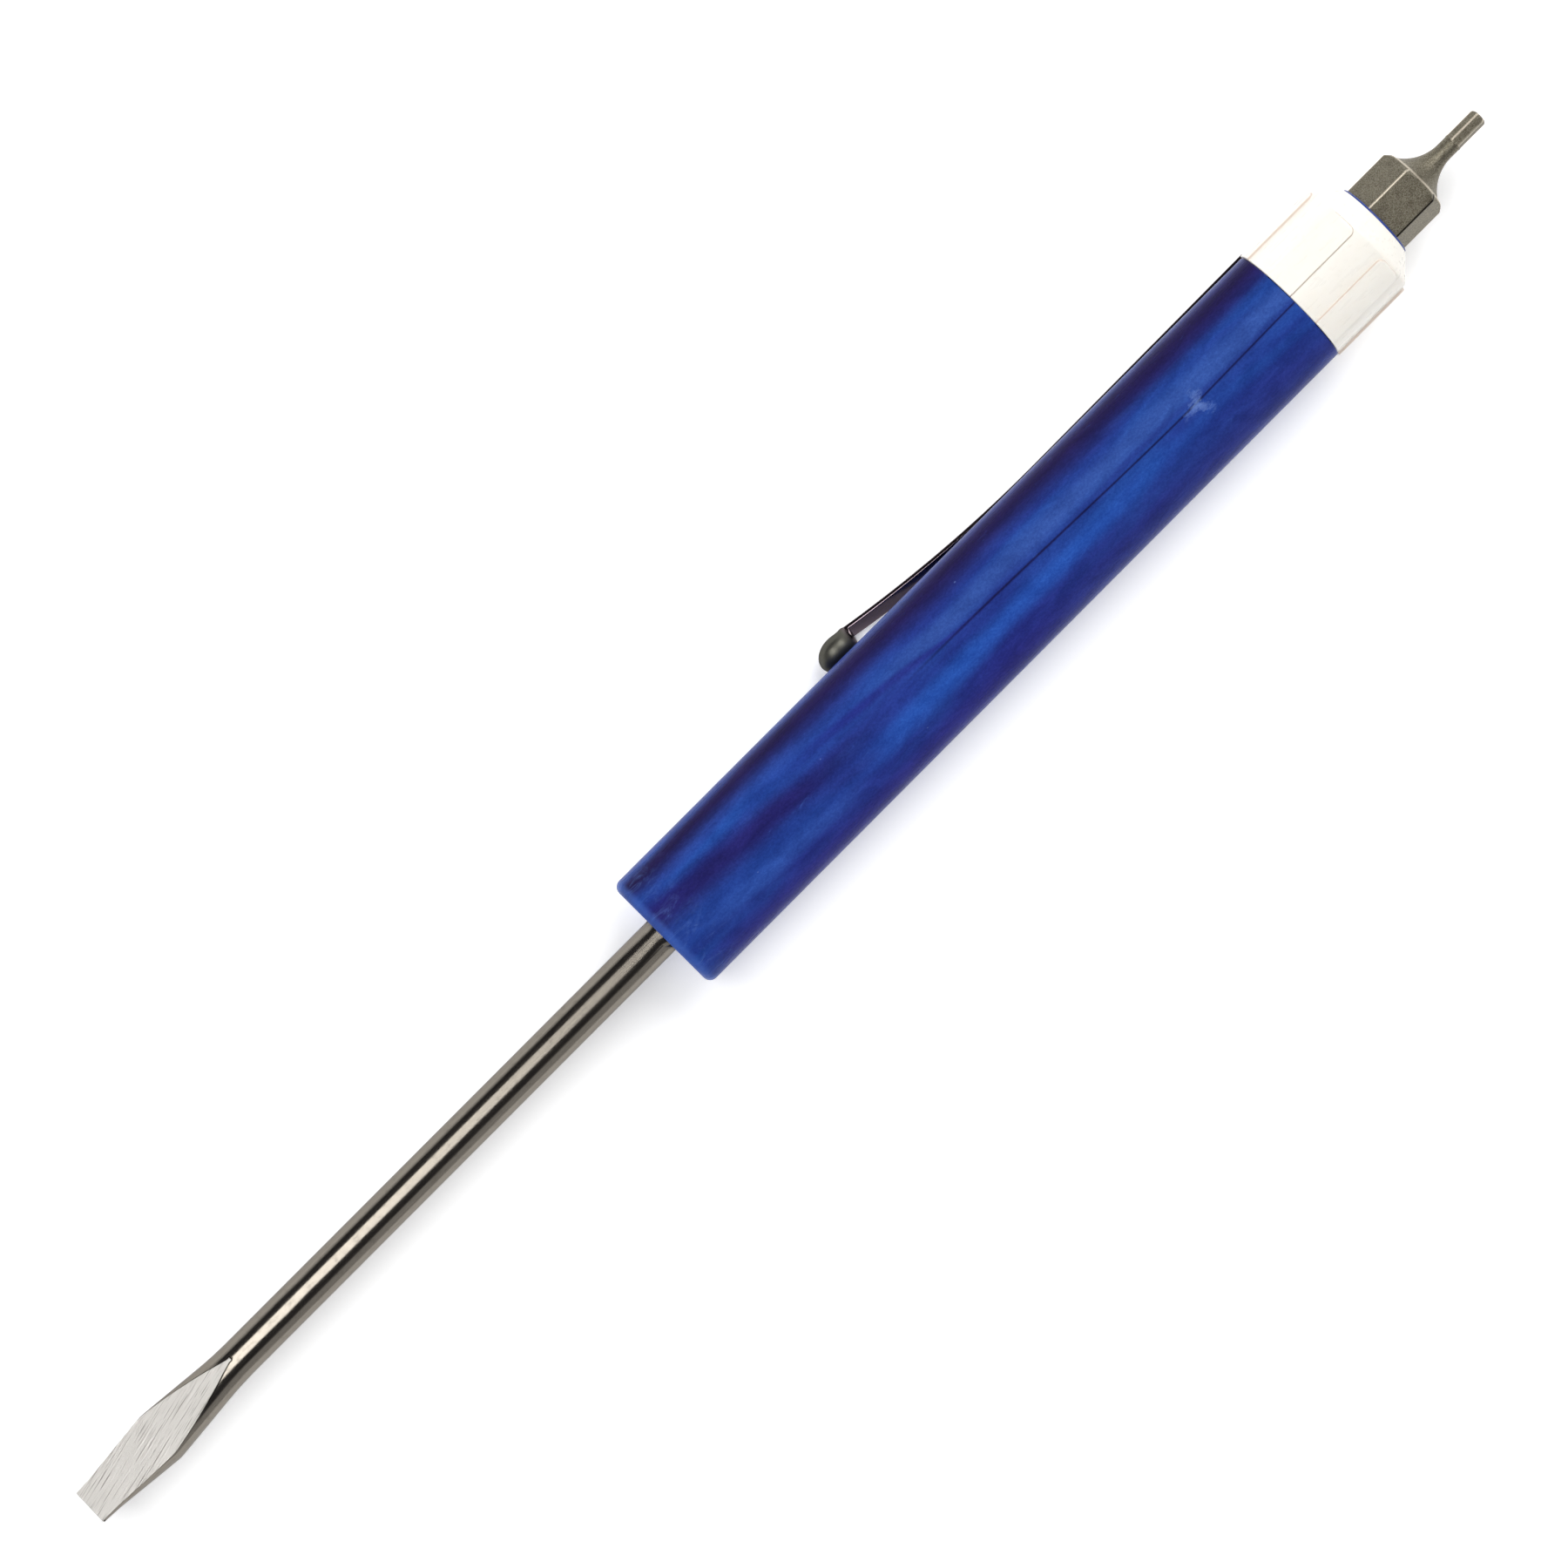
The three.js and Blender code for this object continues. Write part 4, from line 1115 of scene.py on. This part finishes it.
def clip_section(along):
    """The clip's section at a distance from the barrel's end, as (across, out) points from the axis.

    The strip swells into a ball that is flush with the strip's outer side.
    """
    share = (along - CLIP_BALL_PLACE) / CLIP_BALL_HALF_LENGTH
    bulge = sqrt(max(0.0, 1 - share * share))
    ball_middle = CLIP_UNDERSIDE + CLIP_BOW_HEIGHT + CLIP_THICKNESS - CLIP_BALL_HALF_HEIGHT
    low = ball_middle - CLIP_BALL_HALF_HEIGHT * bulge
    high = ball_middle + CLIP_BALL_HALF_HEIGHT * bulge
    middle = ball_middle
    half_width = CLIP_BALL_HALF_WIDTH * bulge
    inner_round = 1.0
    outer_round = 1.0
    if share < 0:
        under = arm_height(along)
        inner_round = smooth(bulge / CLIP_SWELL)
        outer_round = smooth((bulge - CLIP_OUTER_SWELL) / (1 - CLIP_OUTER_SWELL))
        low = lerp(under, min(low, under), inner_round)
        high = max(under + CLIP_THICKNESS, lerp(under + CLIP_THICKNESS, high, outer_round))
        middle = lerp(under + CLIP_THICKNESS / 2, ball_middle, outer_round)
        half_width = lerp(arm_half_width(along), max(half_width, arm_half_width(along)), inner_round)
    section = []
    for across, up in strip_section(CLIP_THICKNESS / CLIP_MIDDLE_WIDTH):
        turn = atan2(up, across)
        roundness = outer_round if up > 0 else inner_round
        across = lerp(across, cos(turn), roundness)
        up = lerp(up, sin(turn), roundness)
        reach = high - middle if up > 0 else middle - low
        section.append((across * half_width, middle + up * reach))
    return section


def make_clip_arm():
    root = BARREL_LENGTH - CLIP_RING_FRONT
    places = stretches(root, 24, CLIP_BOW_START, 40, CLIP_BALL_PLACE - CLIP_BALL_HALF_LENGTH)[:-1]
    # The last ring stops just short of the ball's end, and is closed with one face.
    for angle in spread(0, 176, 44):
        places.append(CLIP_BALL_PLACE - CLIP_BALL_HALF_LENGTH * cos(radians(angle)))
    rings = [
        [
            (BARREL_LENGTH - along, hypot(across, out), degrees(atan2(across, out)))
            for across, out in clip_section(along)
        ]
        for along in places
    ]
    build = bmesh.new()
    rows = add_rings(build, rings, CLIP_TURN, False)
    build.faces.new(rows[0])
    build.faces.new(rows[-1])
    finish_mesh("clip_arm_fine", build, "clip", "clip_arm", CLIP_CHROME)


def bit_envelope():
    """Stations of the bit: the distance behind the nose and the largest radius there."""
    corner = BIT_HALF_FLATS / cos(radians(30))
    shoulder = COLLAR_MOUTH + BIT_SHOULDER
    cove_end = shoulder + BIT_COVE_END
    cove_start = shoulder + BIT_CHAMFER
    start = 180 + degrees(acos((cove_end - cove_start) / BIT_COVE_RADIUS))
    cove = arc(cove_end, BIT_NECK_RADIUS + BIT_COVE_RADIUS, BIT_COVE_RADIUS, start, 270, 28)
    back = corner - BIT_BACK_CHAMFER
    return [
        (BIT_BACK, back),
        *[(BIT_BACK + depth, back + depth) for depth in spread(0.1, BIT_BACK_CHAMFER, 6)],
        *[(behind, corner) for behind in spread(BIT_BACK + 1, shoulder - 0.1, 24)],
        *[(shoulder + depth, corner - depth) for depth in spread(0, BIT_CHAMFER - 0.03, 12)],
        (cove_start, corner - BIT_CHAMFER - 0.03),
        *cove,
        (BIT_POINT - KEY_LENGTH, BIT_NECK_RADIUS),
    ]


def make_bit():
    shank = hex_radius(BIT_HALF_FLATS, BIT_CORNER_BLEND)
    key = hex_radius(KEY_HALF_FLATS, KEY_CORNER_BLEND)
    key_start = BIT_POINT - KEY_LENGTH
    key_corner = KEY_HALF_FLATS / cos(radians(30))

    def limited_shank(limit):
        return lambda angle: soft_min(shank(angle), limit, 0.02)

    def limited_key(growth, limit):
        return lambda angle: min(key(angle) + growth, limit)

    stations = [(BIT_BACK, 0)]
    stations += [(behind, limited_shank(limit)) for behind, limit in bit_envelope()]
    # The key comes out of the neck in a short run-out, and its end is rounded.
    for behind in spread(key_start + 0.03, key_start + 0.5, 10):
        growth = (1 - smooth((behind - key_start) / KEY_RUN_OUT)) * KEY_RUN_OUT_HEIGHT
        stations.append((behind, limited_key(growth, BIT_NECK_RADIUS + 0.03)))
    stations += [(behind, key) for behind in spread(key_start + 0.6, BIT_POINT - KEY_END_ROUND, 8)]
    for angle in spread(6, 90, 12):
        turn = radians(angle)
        limit = key_corner - KEY_END_ROUND + KEY_END_ROUND * cos(turn)
        stations.append((BIT_POINT - KEY_END_ROUND * (1 - sin(turn)), limited_key(0, limit)))
    stations.append((BIT_POINT, 0))
    rings = turned(stations, HEX_ANGLES)
    piece = tube_piece("bit", rings, HEX_TURN, False, "bit", BIT_STEEL)
    paint_points(piece, "wear_glint_and_shade", bit_wear_glint_and_shade)


def bit_wear_glint_and_shade(point):
    """Above 0 where the corners and the shoulder are rubbed bright and carry a painted highlight, and below 0
    along one corner on the side turned from the light, which carries painted shade.
    """
    behind, across, up = turned_back(point, HEX_TURN)
    turn = degrees(atan2(across, up))
    from_corner = abs((turn + 30) % 60 - 30)
    radius = hypot(across, up)
    past_chamfer = behind - COLLAR_MOUTH - BIT_SHOULDER - BIT_CHAMFER
    corner_width = max(WORN_GLINT_EDGE / max(radius, TINY), TINY)
    # The middle of a worn line with its painted highlight is at full strength.
    corner = smooth(1.6 - radians(from_corner) / corner_width)
    shoulder = smooth(1.4 - abs(past_chamfer) / WORN_GLINT_SHOULDER) * WORN_GLINT_SHARE
    if past_chamfer > 0:
        on_key = smooth((behind - (BIT_POINT - KEY_LENGTH)) / 0.3)
        return max(shoulder, corner * on_key * WORN_GLINT_SHARE)
    # The corner on the side turned from the light gets painted shade.
    if -90 < turn < -30:
        return shoulder - corner
    return max(corner * WORN_GLINT_SHARE, shoulder)


# ---- Floor, light and camera ----


def make_floor():
    """A wide pale sheet that glows a little, so that it stays white round the tool's shadow."""
    finish = Finish("pale_floor")
    tone = finish.noise(finish.object_point, 0.4, 2.0)
    away = finish.node("ShaderNodeVectorMath", {"operation": "LENGTH"})
    finish.put(away.inputs[0], finish.object_point)
    glow = finish.step(away.outputs["Value"], *FAR_FLOOR, FLOOR_GLOW, FAR_FLOOR_GLOW)
    finish.done(
        Base_Color=finish.mix(tone, *FLOOR_TONES),
        Roughness=0.9,
        IOR=1.2,
        Emission_Color=(1, 1, 1, 1),
        Emission_Strength=glow,
    )
    build = bmesh.new()
    bmesh.ops.create_grid(build, x_segments=8, y_segments=8, size=FLOOR_SIZE)
    mesh = bpy.data.meshes.new("floor")
    build.to_mesh(mesh)
    build.free()
    floor = bpy.data.objects.new("floor", mesh)
    floor.location.z = -FLOOR_DROP
    mesh.materials.append(finish.material)
    bpy.context.scene.collection.objects.link(floor)


def make_world():
    """A pale surround from the horizon up, dimmer on the far side, and a dark ceiling."""
    world = bpy.data.worlds.new("studio")
    world.use_nodes = True
    bpy.context.scene.world = world
    nodes = Nodes(world.node_tree)
    direction = nodes.node("ShaderNodeTexCoord").outputs["Generated"]
    apart = nodes.node("ShaderNodeSeparateXYZ", Vector=direction)
    far = nodes.step(apart.outputs["Y"], -0.5, 0.5)
    surround = nodes.mix(far, SURROUND, FAR_SURROUND)
    height = nodes.linear(apart.outputs["Y"], -FAR_RISE, apart.outputs["Z"])
    color = nodes.mix(nodes.step(height, *SURROUND_TOP), surround, CEILING)
    nodes.put(world.node_tree.nodes["Background"].inputs["Color"], color)


def make_panel(name, middle, size, aim, power):
    """A soft rectangular light."""
    data = bpy.data.lights.new(name, "AREA")
    data.shape = "RECTANGLE"
    data.size, data.size_y = size
    data.energy = power
    panel = bpy.data.objects.new(name, data)
    panel.location = middle
    panel.rotation_mode = "QUATERNION"
    panel.rotation_quaternion = (Vector(aim) - Vector(middle)).to_track_quat("-Z", "Y")
    panel.visible_camera = False
    bpy.context.scene.collection.objects.link(panel)


def make_camera():
    """Looks almost straight down, rolled so that the bit is at the upper right."""
    data = bpy.data.cameras.new("camera")
    data.sensor_width = 36
    data.lens = CAMERA_LENS
    data.clip_end = 100
    camera = bpy.data.objects.new("camera", data)
    nose = Vector((NOSE_X, AXIS_Y, AXIS_Z))
    aim = nose + Vector(CAMERA_AIM) * MM
    eye = nose + Vector(CAMERA_EYE) * MM
    forward = (aim - eye).normalized()
    right = forward.cross(Vector((-1, -1, 0))).normalized()
    up = right.cross(forward)
    camera.matrix_world = Matrix((right, up, -forward)).transposed().to_4x4()
    camera.location = eye
    bpy.context.scene.collection.objects.link(camera)
    bpy.context.scene.camera = camera


make_barrel()
make_drive_insert()
make_blade()
make_bit_socket()
make_magnet()
make_collar()
make_clip_ring()
make_clip_arm()
make_bit()

wire_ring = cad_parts["blade_spring_ring"]
wire_ring.data.materials.clear()
wire_ring.data.materials.append(RING_STEEL)

make_floor()
make_world()
for panel in PANELS:
    make_panel(*panel)
make_camera()
bpy.context.scene.view_settings.view_transform = "Standard"
